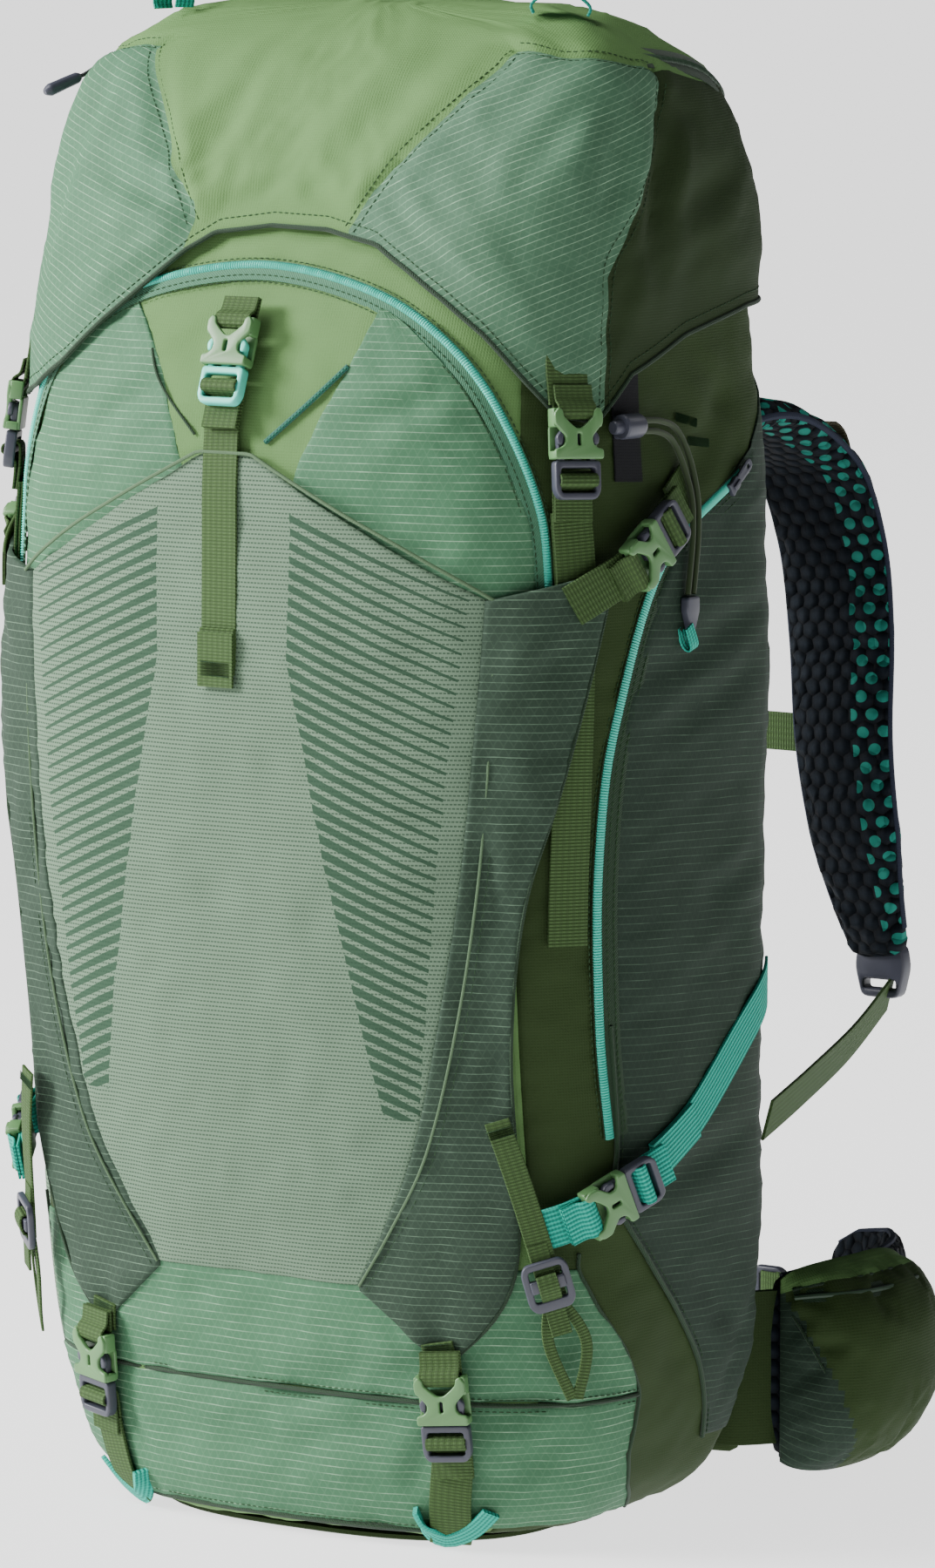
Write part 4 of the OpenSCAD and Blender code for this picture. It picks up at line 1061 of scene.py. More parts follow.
# Where the ripstop of the lower front ends round the corner, as (angle, height) pairs
FOOT_EDGE = [(8, 9), (-2, 26), (-6, 44), (-7, 76), (-12, 100), (-18, 122), (-22, 142)]


def foot_edges(low, high):
    """The left and right edges of the ripstop across the lower front, between two heights."""
    z = np.linspace(low, high, 40)
    angles, heights = np.array(FOOT_EDGE, float).T
    angle = np.interp(z, heights, angles)
    return np.stack([-180 - angle, z], -1), np.stack([angle, z], -1)


def front_cloth():
    """Ripstop inside the front zip, on both sides of the plain middle, and across the lower front."""
    outer = on_front(ZIP_INNER)
    bottom = on_front([(30, 496), (80, 470), (120, 420), (148, 380)])
    for (side, mirror), seed in zip(SIDES, (11, 12)):
        inner = on_front(CENTRE_SEAM[side])
        panel(f"front_ripstop_{side}", bottom, np.array([inner[-1], outer[-1]]), inner, outer, "ripstop",
              mirror=mirror, seed=seed, rise=behind_pocket)
    panel("front_skirt", *between(*foot_edges(76, 142)), "ripstop", lift=-0.3, puff=1.0, seed=14)
    panel("front_foot", *between(*foot_edges(9, 74)), "ripstop", lift=-0.5, puff=1.0, seed=15)


SIDE_SEAM = [(165, 58, 40), (167, 38, 72), (167, 25, 90), (170, 3, 114), (172, -23, 141), (169, -48, 174),
             (171, -50, 205), (170, -56, 260), (170, -58, 335), (172, -48, 405), (176, -12, 477), (172, 62, 520)]


def side_cloth():
    """Ripstop behind the side zip, from the slanted binding up to the zip's top end."""
    # The side ripstop is the darker copy, with painted shade.
    for (side, mirror), seed in zip(SIDES, (21, 22)):
        panel(f"side_ripstop_{side}", *joining(edge(SIDE_SEAM), upright(BACK_SEAM - 1, 36, 566, 50)),
              "ripstop_side_painted_shade", mirror=mirror, seed=seed, puff=0.8)


def base_panel():
    """The flat base with a rounded rim, in rings that go out, up round the rim and back in."""
    around = 72
    rim = bag_at(np.zeros(around), np.linspace(-180, 180, around, endpoint=False))
    profile = [(0.0, 0.02), (0.0, 0.3), (0.0, 0.75), (0.0, 0.985), (0.8, 1.0), (2.6, 1.0), (3.6, 0.97),
               (3.6, 0.5), (3.6, 0.02)]
    points = np.concatenate([rim * [share, share, 0] + UP * z for z, share in profile])
    faces = grid_faces(len(profile), around, closed=True, turned=True) + end_caps(len(profile), around, turned=True)
    # In the darker copy of the packcloth, with painted shade.
    piece("base_cloth", [(points, faces, points[:, :2] * MM)], "root", "plain_painted_shade", "base_panel")


# ------------------------------------------------------------------------------------------------------- pockets
POCKET_EDGE = [(57, 131), (74, 160), (93, 200), (108, 260), (120, 330), (127, 400), (131, 465)]
POCKET_MOUTH = [(132, 465), (100, 482), (60, 504), (14, 530)]
WING_FREE = [(104, -92, 96), (134, -83, 142), (139, -95, 249), (145, -94, 320), (157, -83, 378), (168, -58, 479)]


def stretch_pocket():
    """The shield-shaped pocket of stretch knit on the front."""
    right = on_front([(x + 1, z) for x, z in POCKET_EDGE])
    left = on_front([(-x - 1, z) for x, z in POCKET_EDGE])
    mouth = [(-x, z) for x, z in POCKET_MOUTH] + POCKET_MOUTH[::-1]
    top = np.array([[front_angle(z, x), z] for x, z in mouth])
    cloth = panel("stretch_pocket_cloth", level(131, left[0, 0], right[0, 0]), top, left, right, "sage",
                  ["stretch_pocket"], lift=1.3, thick=1.3, puff=2.2, pucker=0.15, pitch=5, seed=31)


def wing_rise(q):
    """How far a pocket wing stands off the bag towards its free edge."""
    return 6 * np.clip((np.abs(q[..., 0]) - 130) / 20, 0, 1) * np.clip((q[..., 2] - 130) / 60, 0, 1)


def pocket_wings():
    """Ripstop wings from the stretch pocket round to the sides, free along their outer edges."""
    inner = np.vstack([on_front([(97, 96), (57, 130)]), on_front(POCKET_EDGE)[1:]])
    # The wings are in the darker copy of the ripstop, with painted shade.
    for (side, mirror), seed in zip(SIDES, (41, 42)):
        panel(f"wing_cloth_{side}", *joining(inner, edge(WING_FREE)), "ripstop_wing_painted_shade", [f"pocket_wing_{side}"],
              lift=2.2, thick=1.2, drop=1.2, mirror=mirror, seed=seed, rise=wing_rise, pucker=0.35, hem=7,
              folds=WING_FOLDS)


def bottle_pocket():
    """Stretch pocket low on the left side, with an elastic mouth that slants under the compression strap."""
    foot = 30
    u = np.linspace(0, 1, 30)[None]
    v = np.linspace(0, 1, 34)[:, None]
    angle, z = np.broadcast_arrays(146 + 50 * u, foot + (225 - 67 * u - foot) * v)
    base = bag_at(z, angle)
    wide = (1 - (2 * u - 1) ** 4) * np.minimum((z - foot) / 40, 1)
    d = 1.2 + 12 * wide - 1.8 * ease(v, 0.93, 1.0) * wide + 0.8 * rumple(base, 40, 51) * wide
    out = bag_normal(base)
    part = (*slab(base + out * d[..., None], base + out * (d - 1.2)[..., None]),
            np.tile(uv_grid(girth(z, angle), z), (2, 1)))
    obj = piece("bottle_pocket_cloth", [part], "root", "sage_plain", "bottle_pocket")


# ---------------------------------------------------------------------------------------------------------- zips
FRONT_ZIP = [(-151, -85, 380), (-153, -85, 477), (-147, -89, 518), (-124, -98, 566), (-91, -102, 596),
             (-47, -98, 612), (0, -98, 618), (47, -98, 612), (91, -102, 596), (124, -98, 566), (147, -89, 518),
             (153, -85, 477), (151, -85, 380)]
SIDE_ZIP = [(172, 56, 515), (175, -19, 477), (171, -54, 405), (169, -64, 335), (169, -62, 260), (170, -54, 205)]
LID_ZIP = [(140, 5, 712), (150, 50, 706), (140, 92, 690), (70, 106, 690), (0, 107, 690),
           (-70, 106, 690), (-140, 92, 690), (-150, 50, 706), (-140, 5, 712)]


def coil_part(path, lift, width=4.2, tall=1.5, pitch=1.3):
    """A zip's coil: a low ridged bead along a path on the bag."""
    across = np.linspace(-1, 1, 7)
    step = pitch / 4
    line, out, uv = strip_net(path, across * width / 2, 0.0, step=step)
    run = uv[:, 0, 0] / MM
    tooth = 0.5 + 0.5 * np.cos(2 * math.pi * run / pitch)
    dome = np.sqrt(np.clip(1 - across ** 2, 0, 1))
    high = lift + dome[None] * tall * (0.62 + 0.38 * tooth[:, None])
    middle = line.mean(axis=1, keepdims=True)
    line = middle + (line - middle) * (0.84 + 0.16 * tooth)[:, None, None]
    grid = line + out * high[..., None]
    return strip_slab(grid, line + out * (lift - 0.1), uv)


ZIPS = {"front_zip": {"path": FRONT_ZIP, "tape": "teal_tape", "across": (-8, 2.5), "width": 4.2,
                      "rows": [(-5.4, 0.1), (-9.0, 0.1), (3.6, -0.5)]},
        "side_zip": {"path": SIDE_ZIP, "tape": "dark_tape", "across": (-3, 12), "width": 5.2,
                     "rows": [(5.4, 0.1), (9.6, 0.1), (-4.2, -0.9)]}}


def zips():
    """Teal coil zips on the front and the right side, with their tapes and rows of stitches."""
    for name, made in ZIPS.items():
        across = np.linspace(*made["across"], 9)
        piece(f"{name}_tape", [strip_part(made["path"], 0, -0.75, 0.75, across)], "root", made["tape"])
        piece(f"{name}_coil", [coil_part(made["path"], 0.0, made["width"])], "root", "teal_coil", name)
    for name, made in ZIPS.items():
        stitches = [part for left, lift in made["rows"] for part in stitch_parts(made["path"], left, lift)]
        piece(f"{name}_stitches", stitches, "root", "thread", slot="dark_tape")


# ------------------------------------------------------------------------------------------------------ webbing
WEB_W = 20
WEB_T = 1.6
BUCKLE_LIFT = 4
RAISED_LIFT = 6
LID_BUCKLE = ([156, -73, 534], [158, -75, 510], BUCKLE_LIFT)
POCKET_BUCKLE = ([-1, -118, 572], [-1, -126, 545], BUCKLE_LIFT)
UPPER_BUCKLE = ([171, -36, 488], [173, -10, 506], RAISED_LIFT)
LOWER_BUCKLE = ([165, -52, 179], [173, -22, 194], RAISED_LIFT)
BASE_BUCKLE = ([103, -92, 72], [105, -90, 50], BUCKLE_LIFT)
# A webbing's turn round the bar of a buckle half, along it and out from it
FEMALE_WRAP = [(-31, 0.9), (-22, 1.2), (-18, 1.7), (-15.4, 3.2), (-15.4, 6.2), (-18, 7.5), (-21.4, 6.7),
               (-24, 3.9), (-31, 2.7)]
MALE_WRAP = [(33, 0.4), (24, 0.6), (19.4, 1.3), (17.0, 4.5), (16.0, 7.6), (14.0, 8.3), (12.0, 7.6), (10.6, 4.5),
             (10.4, 0.4), (16, -0.9), (24, -1.4), (33, -1.2)]


def turn_part(shape, width=WEB_W):
    """A webbing's turn round a bar, in its buckle's own frame."""
    return band_part([(x, 0, z) for x, z in shape], (0, 1, 0), width, 1.3, step=1.5)


def wrap_part(shape, place, mirror=False, width=WEB_W):
    """A webbing's turn round a buckle's bar, at the buckle's seat."""
    return at_seat(turn_part(shape, width), place, mirror)


POCKET_WEB = [(-3, -112, 556), (-1, -130, 500), (-1, -132, 425)]
LID_LOWER_WEB = [(158, -75, 506), (162, -75, 440), (162, -78, 370), (160, -78, 300)]
UPPER_WEB_FRONT = [(156, -78, 462), (163, -65, 470), (168, -52, 477)]
UPPER_WEB_BACK = [(174, -11, 505), (174, -2, 511), (174, 8, 517)]
LOWER_WEB_FRONT = [(148, -81, 165), (153, -73, 168), (158, -65, 172)]
LOWER_WEB_BACK = [(174, -26, 191), (176, 9, 209), (177, 55, 246), (172, 90, 268)]
BASE_WEB_TOP = [(97, -94, 106), (98, -93, 99), (99, -93, 92)]
BASE_WEB_LOW = [(101, -86, 46), (99, -84, 24), (97, -78, 6)]
TOOL_LOOP = [(132, -96, 219), (140, -84, 176), (147, -72, 132), (152, -62, 84)]
BASE_LOOP = [(80, -87, 22), (85, -85, 13), (92, -82, 8), (100, -79, 8), (108, -76, 13), (114, -73, 22)]
TOOL_LIFT = 10.4
TOOL_W = 11


def olive_webbings():
    """The olive straps of the body: pocket, lid, upper, base and tool loops."""
    single = [strip_part(POCKET_WEB, WEB_W, 2.2, WEB_T),
              strip_part([(-1, -132, 447), (-1, -132, 425)], WEB_W, 3.7, WEB_T),
              strip_part([(-1, -132, 445), (-1, -131, 419)], WEB_W + 0.6, 5.3, 1.5),
              wrap_part(FEMALE_WRAP, POCKET_BUCKLE)]
    paired = [strip_part(LID_LOWER_WEB, WEB_W, 0.6, WEB_T, wave=0.5),
              strip_part([(158, -75, 506), (161, -75, 474), (162, -75, 446)], WEB_W, 2.4, WEB_T, wave=0.8),
              strip_part(UPPER_WEB_FRONT, WEB_W, 8.6, WEB_T),
              strip_part(UPPER_WEB_BACK, WEB_W, 0.8, WEB_T),
              strip_part(BASE_WEB_TOP, WEB_W - 4, 2.0, WEB_T),
              strip_part(BASE_WEB_LOW, WEB_W, 2.6, WEB_T),
              strip_part(TOOL_LOOP[:3], TOOL_W, TOOL_LIFT, 1.4),
              strip_part([(147, -74, 134), (148, -74, 110), (152, -63, 82)], 5, TOOL_LIFT, 1.3),
              strip_part([(147, -72, 134), (155, -60, 110), (153, -61, 82)], 5, TOOL_LIFT, 1.3),
              wrap_part(FEMALE_WRAP, UPPER_BUCKLE), wrap_part(FEMALE_WRAP, BASE_BUCKLE)]
    piece("olive_straps", single + both(*paired), "root", "olive", "olive_webbings")
    tacks = bartack_parts([-1, -132, 431], [-1, -132, 420], 16, 7.0, rows=3)
    for (end, near), lift in ((UPPER_WEB_BACK[:-3:-1], 2.6), (BASE_WEB_TOP[:2], 3.8),
                              (TOOL_LOOP[:2], TOOL_LIFT + 1.6)):
        end, near = np.array(end, float), np.array(near, float)
        tacks += both(*bartack_parts(end + (near - end) * 0.08, near, 14, lift, rows=2))
    piece("olive_bartacks", tacks, "root", "thread", slot="olive_webbing")


def teal_webbings():
    """Ribbed teal straps: the lower compression straps and the loops under the base straps."""
    parts = [strip_part(LOWER_WEB_FRONT, WEB_W, 8.2, WEB_T), strip_part(LOWER_WEB_BACK, WEB_W, 0.8, WEB_T),
             strip_part([(174, -26, 191), (176, 6, 207)], WEB_W, 2.5, WEB_T),
             wrap_part(FEMALE_WRAP, LOWER_BUCKLE),
             band_part(lifted(smooth(BASE_LOOP), 3.2), (0, -0.7, 0.7), 10, 2.4)]
    piece("teal_straps", both(*parts), "root", "teal", "teal_webbings")


def ladder_locks():
    """Ladder locks at the lower ends of the tool loops, with the strap through them."""
    place = ([145, -75, 140], [149, -70, 118], TOOL_LIFT + 2.2)
    piece("ladder_locks_moulded", both(*fitting_parts("ladder", place)), "root", "charcoal", "ladder_locks")
    wrap = [(26, 2.2), (8, 2.2), (5, 4.4), (-1, 5.8), (-5, 4.4), (-6, 0.4), (-20, -0.9)]
    piece("ladder_lock_straps", both(wrap_part(wrap, place, width=TOOL_W - 1)), "root", "olive")


MALES = {"upper": (UPPER_BUCKLE, "olive"), "lower": (LOWER_BUCKLE, "teal"), "base": (BASE_BUCKLE, "olive"),
         "lid": (LID_BUCKLE, "olive")}


def male_half(name, place, plastic_key, web, mirror=False):
    """A male half and its webbing, which slide out of the outer half together."""
    piece(f"{name}_moulded", fitting_parts("male", place, mirror), name, plastic_key, name)
    piece(f"{name}_strap", [wrap_part(MALE_WRAP, place, mirror)], name, web)


def buckles():
    """Green outer halves sewn to the bag, and charcoal halves with their webbing that slide out of them."""
    females = fitting_parts("female", POCKET_BUCKLE)
    for place in (UPPER_BUCKLE, LOWER_BUCKLE, BASE_BUCKLE):
        females += both(*fitting_parts("female", place))
    piece("strap_buckle_outer_halves", females, "root", "green_plastic", "strap_buckle_females")
    piece("lid_buckle_outer_halves", both(*fitting_parts("female", LID_BUCKLE)), "lid", "green_plastic",
          "lid_buckle_females")
    for kind, (place, web) in MALES.items():
        for side, mirror in SIDES:
            male_half(f"{kind}_buckle_male_{side}", place, "charcoal", web, mirror)
    male_half("pocket_buckle_male", POCKET_BUCKLE, "teal_plastic", "olive")


# ---------------------------------------------------------------------------------------------------------- lid
LID_OUT = 3.2
LID_THICK = 1.4
LID_EDGE_RIGHT = [(0, 635), (20, 634), (34, 628), (41, 616), (47, 603), (53, 587), (58, 568), (63, 551), (70, 547),
                  (78, 568), (94, 584), (114, 595), (140, 600), (180, 600)]
LID_EDGE_LEFT = [(0, 635), (19, 631), (26, 622), (32, 607), (39, 589), (46, 568), (54, 555), (62, 549), (70, 552),
                 (78, 568), (94, 584), (114, 595), (140, 600), (180, 600)]


def from_front(angle):
    """How far a direction is turned from the front, from -180 to 180 degrees."""
    return (np.asarray(angle, float) + 90 + 540) % 360 - 180


def lid_edge(angle):
    """Height of the lid's lower edge in a direction."""
    turn = from_front(angle)
    right = np.interp(np.abs(turn), *np.array(LID_EDGE_RIGHT, float).T)
    left = np.interp(np.abs(turn), *np.array(LID_EDGE_LEFT, float).T)
    return np.where(turn < 0, left, right)


LID_SEAMS = [[(-63.4, 634), (-45.4, 670), (-18, 717)], [(-18, 717), (-8, 712), (2.7, 706)],
             [(2.7, 706), (-9.9, 646), (-16.7, 614), (-18.4, 552)]]
LID_SEAMS += [[(-180 - a, z) for a, z in seam] for seam in LID_SEAMS]
# Creases of the lid: start, end, depth and width
LID_CREASES = [((60, -80, 649), (110, -93, 605), 4.2, 7), ((74, -76, 657), (139, -86, 574), 2.8, 9),
               ((-41, -88, 636), (-115, -68, 661), 3.1, 7), ((-49, -91, 629), (-119, -84, 615), 2.5, 7),
               ((-31, -88, 636), (1, -79, 654), 2.0, 6), ((42, -87, 637), (10, -77, 658), 2.0, 6),
               ((155, 0, 690), (163, -20, 608), 3.4, 10), ((152, -30, 690), (162, -44, 582), 2.5, 8),
               ((150, -40, 700), (120, -100, 640), 3.6, 8), ((155, -55, 690), (150, -80, 620), 3.1, 7),
               ((130, -75, 690), (85, -100, 660), 2.5, 6), ((158, -40, 660), (157, -66, 590), 2.5, 6),
               ((60, -95, 645), (20, -101, 652), 2.0, 6), ((-20, -101, 652), (-56, -98, 640), 2.0, 6),
               ((-120, -50, 705), (-150, -75, 610), 2.8, 8), ((-90, -50, 700), (-60, -98, 645), 2.2, 8),
               ((70, -40, 722), (20, -92, 648), 2.0, 10), ((-30, -40, 720), (-52, -92, 650), 1.8, 9),
               ((100, 20, 738), (130, -40, 710), 2.2, 10), ((-95, 30, 738), (-130, -30, 712), 2.2, 10),
               ((160, 10, 690), (166, -40, 610), 2.5, 8), ((164, 60, 660), (164, 0, 640), 2.1, 9)]


def lid_groove(angle, z):
    """How far the lid's sewn seams pull it in."""
    total = np.zeros(np.shape(angle))
    here = np.stack([angle * 2.0, z], -1)
    for seam in LID_SEAMS:
        line = smooth(np.array(seam, float)) * [2.0, 1.0]
        away = np.full(total.shape, 1e9)
        for a, b in zip(line[:-1], line[1:]):
            t = np.clip(((here - a) @ (b - a)) / ((b - a) @ (b - a)), 0, 1)
            away = np.minimum(away, np.linalg.norm(here - a - t[..., None] * (b - a), axis=-1))
        total += 1.6 * np.exp(-(away / 2.2) ** 2) - 0.7 * np.exp(-((away - 6) / 3.5) ** 2)
    return total


def lid_surface(angle, z, lift=0.0):
    """Point of the lid's outer cloth, with its creases."""
    base = bag_at(z, angle)
    wrinkle = 2.4 * rumple(base, 80, 61) + 0.7 * ridges(base * [1.3, 1, 1], 42, 62)
    wrinkle = wrinkle + 0.35 * ridges(base * [1.5, 1.5, 1], 17, 63)
    fade = ease(z - lid_edge(angle), 4, 30)
    crown = ease(z, 700, 737)
    d = LID_OUT + lift + (wrinkle + fold_depth(base, LID_CREASES)) * fade + 3.0 * fade * (1 - crown)
    d = d - lid_groove(angle, z) * fade
    return base + bag_normal(base) * d[..., None]


CORNER_TOP = [(0, 717), (72, 717), (92.7, 706), (110, 700), (180, 700)]
LID_ROWS = (48, 10)
LID_COLUMNS = {"middle": 40, "corner": 30, "behind": 100}


def inner_front_seam(z):
    """Direction of the seam between the lid's middle and its right front corner."""
    return np.interp(z, [634, 652, 670, 694, 717], [-63.4, -55.5, -45.4, -32, -18])


def outer_front_seam(z):
    """Direction of the seam between the lid's right front corner and its side."""
    return np.interp(z, [552, 614, 646, 676, 706], [-18.4, -16.7, -9.9, -3.5, 2.7])


def lid_net():
    """Directions and heights of the lid's grid, whose columns and rows follow its seams."""
    low_rows, high_rows = LID_ROWS
    up = np.concatenate([[0, 0.006, 0.018, 0.035], np.linspace(0.055, 1, low_rows - 4)])
    over = np.linspace(0, 1, high_rows + 1)[1:]
    share = np.concatenate([up, 1 + over])[:, None]
    counts = LID_COLUMNS
    mid = np.linspace(0, 1, counts["middle"], endpoint=False)
    side = np.linspace(0, 1, counts["corner"], endpoint=False)
    back = np.linspace(0, 1, counts["behind"], endpoint=False)
    angle = np.zeros((len(share), counts["middle"] + 2 * counts["corner"] + counts["behind"]))
    z = np.full_like(angle, 650.0)
    for _ in range(6):
        inner, outer = inner_front_seam(z), outer_front_seam(z)
        parts, start = [], 0
        for fractions, first, last in ((side, -180 - outer, -180 - inner), (mid, -180 - inner, inner),
                                       (side, inner, outer), (back, outer, 180 - outer)):
            end = start + len(fractions)
            parts.append(first[:, start:end] + (last - first)[:, start:end] * fractions[None])
            start = end
        angle = np.concatenate(parts, axis=1)
        low, top = lid_edge(angle), np.interp(np.abs(from_front(angle)), *np.array(CORNER_TOP, float).T)
        z = np.where(share <= 1, low + (top - low) * share, top + (TOP - top) * (1 - (2 - share) ** 1.6))
    return angle, z


def lid_cover():
    """The lid's cloth in one closed dome: plain middle and crown, ripstop front corners, and darker sides and back in
    a copy of the packcloth with painted shade.
    """
    angle, z = lid_net()
    rows, cols = angle.shape
    outer = lid_surface(angle, z)
    out = bag_normal(bag_at(z, angle))
    rim = ease(z - lid_edge(angle), -1, 5)[..., None]
    outer = outer - out * (1 - rim) * 0.5
    inner = outer - out * LID_THICK
    points, faces = slab(outer, inner, closed=True)
    size = rows * cols
    top = (rows - 1) * cols
    crown = [outer[-1].mean(0) + UP * 0.6, inner[-1].mean(0) + UP * 0.6]
    faces = [f for f in faces if not (min(k % size for k in f) >= top and max(f) >= size > min(f))]
    for j in range(cols):
        k = (j + 1) % cols
        faces.append((top + j, top + k, 2 * size))
        faces.append((size + top + k, size + top + j, 2 * size + 1))
    uv = np.concatenate([cloth_uv(angle, z), cloth_uv(angle, z), [[0, RISE[-1] * MM]] * 2])
    obj = piece("lid_cloth", [(np.concatenate([points, crown]), faces, uv)], "lid", "plain", "lid_cover",
                slot="ripstop")
    for key in ("ripstop_lid", "ripstop_lid_left", "plain_lid_painted_shade"):
        add_material(obj, key)
    for face in obj.data.polygons:
        cells = [k % size for k in face.vertices if k < 2 * size]
        row = min(cells) // cols
        columns = sorted(k % cols for k in cells)
        column = columns[-1] if columns[-1] - columns[0] > cols / 2 else columns[0]
        face.material_index = lid_colour(row, column)


def lid_colour(row, column):
    """Which cloth a cell of the lid's grid is: plain 0, ripstop 1 or 2 at the corners, dark 3, a copy with painted
    shade.
    """
    corner, middle = LID_COLUMNS["corner"], LID_COLUMNS["middle"]
    if row >= LID_ROWS[0] - 1:
        return 0
    if column < corner:
        return 2
    if column < corner + middle:
        return 0
    return 1 if column < 2 * corner + middle else 3


def lid_trims():
    """Edge piping, zip, seam stitches and webbing that go with the lid."""
    a = np.linspace(-180, 180, 240, endpoint=False)
    rim = bag_at(lid_edge(a), a)
    rim = rim + bag_normal(rim) * (LID_OUT - 0.2)
    piece("lid_edge_piping", [tube_part(np.vstack([rim, rim[:1]]), 1.2, caps=False)], "lid", "dark_tape")
    tape_part = strip_part(LID_ZIP, 0, LID_OUT + 2.6, 0.8, across=np.linspace(-6.5, 6.5, 9))
    piece("lid_zip_tape", [tape_part], "lid", "dark_tape", "lid_zip")
    piece("lid_zip_coil", [coil_part(LID_ZIP, LID_OUT + 3.6, width=3.8, tall=1.2)], "lid", "dark_coil")
    stitches = []
    for seam in LID_SEAMS:
        angle, z = smooth(seam).T
        q = bag_at(z, angle)
        for side in (-3.0, 3.0):
            way = q + unit(np.cross(bag_normal(q), np.gradient(q, axis=0))) * side
            angle = angle_of(way)
            way = lid_surface(np.where(angle > 90, angle - 360, angle), np.minimum(way[:, 2], TOP - 1), 0.12)
            stitches += stitch_parts(way, radius=0.26, on_bag=False)
    hem = bag_at(lid_edge(a) + 6, a)
    stitches += stitch_parts(lid_surface(angle_of(hem), hem[:, 2], 0.15), on_bag=False)
    piece("lid_stitches", stitches, "lid", "thread")
    web = strip_part([(146, -66, 590), (150, -70, 572), (154, -72, 556)], WEB_W, LID_OUT + 1, WEB_T)
    piece("lid_straps", both(web) + both(wrap_part(FEMALE_WRAP, LID_BUCKLE)), "lid", "olive", "lid_webbings")


LASH_FOOT = 737
LASH_SLACK = 0.72
# Route of a lash loop, with its height over its foot before it slackens
LASH_LOOP = [(102, -19, 0), (101, -19.5, 6), (106, -16, 12), (113, -12, 14), (120, -8, 11), (125, -5, 4),
             (124, -5.5, -1.7)]


def lash_loops():
    """Woven loops on the lid's crown to tie things to."""
    path = [(x, y, LASH_FOOT + LASH_SLACK * rise) for x, y, rise in LASH_LOOP]
    loop = band_part(path, (-0.53, 0.85, 0), 10, 1.4, step=1.5)
    piece("lash_loops_woven", both(loop), "lid", "teal", "lash_loops")


def sliders():
    """Zip sliders, with a cord and a rubber pull on the lid's."""
    seats = {"front_zip_slider": ([151.5, -85, 428], [151, -85, 400], 0.6),
             "side_zip_slider": ([172, 46, 510], [170, 80, 530], 0.6),
             "lid_zip_slider": ([-142, 14, 711], [-150, -20, 690], LID_OUT + 3.2)}
    for name, place in seats.items():
        piece(f"{name}_moulded", fitting_parts("slider", place), name, "charcoal", name)
    pull = tube_part(smooth([(16, 0, 1.8), (21, 0, 3.2), (28, 1, 3.0), (36, 2, 1.8), (44, 3, 1.5)]), 1.1)
    piece("lid_zip_pull_cord", [at_seat(pull, seats["lid_zip_slider"])], "lid_zip_slider", "black_cord")
    way = smooth([(40, 2.5, 1.6), (47, 3.4, 1.6), (56, 4.6, 1.5), (62, 5.4, 1.4)])
    radius = np.interp(np.linspace(0, 1, len(way)), [0, 0.12, 0.8, 1], [1.6, 2.8, 3.2, 1.4])
    grip = tube_part(way, radius, sides=12)
    piece("lid_zip_pull_grip", [at_seat(grip, seats["lid_zip_slider"])], "lid_zip_slider", "charcoal")


# ----------------------------------------------------------------------------------------------------- side cord
CORD_D = 3
CORD_OUTER = [(174.5, -36, 547), (175.5, -22, 546), (176, -8, 541), (177, 2, 527), (178.5, 7, 508), (179, 7, 490),
              (179.5, 4, 474), (180, 1, 462)]
CORD_INNER = [(174.5, -36, 542), (175.5, -24, 541), (176, -12, 536), (177, -3, 523), (178.5, 2, 507), (179, 2, 490),
              (179.5, -1, 474), (180, -4, 462)]
LOCK_SEAT = ([168, -43, 544], [172, -20, 544], 1.2)


def cord_curve(name, path):
    """A curve along a given route."""
    curve = bpy.data.curves.new(name, "CURVE")
    curve.dimensions = "3D"
    curve.bevel_depth = CORD_D / 2 * MM
    curve.bevel_resolution = 4
    spline = curve.splines.new("POLY")
    way = smooth(path, 6) * MM
    spline.points.add(len(way) - 1)
    for point, q in zip(spline.points, way):
        point.co = (*q, 1)
    obj = bpy.data.objects.new(name, curve)
    bpy.context.scene.collection.objects.link(obj)
    return finish_piece(obj, "root", "olive_cord")


def side_cord():
    """The doubled cord out of the barrel lock, which ends in the kite-shaped tip."""
    tip = rounded([(-5.4, -1), (5.4, -1), (5.6, -8), (0, -21), (-5.6, -8)], 1.8)
    points, faces, _ = plate(tip, -2.2, 2.2, bevel=0.9)
    at = np.array([180, -1.5, 462.0])
    tip_piece = piece("side_cord_tip_moulded", [(points[:, [2, 0, 1]] + at, faces, None)], "root", "charcoal",
                      "side_cord_tip")
    fold = [(2.4, -5, -15), (2.6, -1, -23), (1.2, 1, -26), (-1.2, 1, -26), (-2.6, -1, -23), (-2.4, -5, -15)]
    loop = band_part(at + np.array(fold), (0, 1, 0.3), 7, 1.0, step=1.5)
    loop_piece = piece("side_cord_tip_loop", [loop], "root", "teal")
    outer = cord_curve("side_cord_outer_run", CORD_OUTER)
    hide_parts("side_cord")
    inner = cord_curve("side_cord_inner_run", CORD_INNER)


def lathe_part(profile, steps=24):
    """A turned part about an axis 6 mm over the seat's X axis, from (x, radius) pairs."""
    t = np.linspace(0, 2 * math.pi, steps, endpoint=False)
    rows = np.array([np.stack([np.full(steps, float(x)), radius * np.cos(t), 6 + radius * np.sin(t)], -1)
                     for x, radius in profile])
    faces = grid_faces(len(rows), steps, closed=True, turned=True) + end_caps(len(rows), steps, turned=True)
    return rows.reshape(-1, 3), faces, None


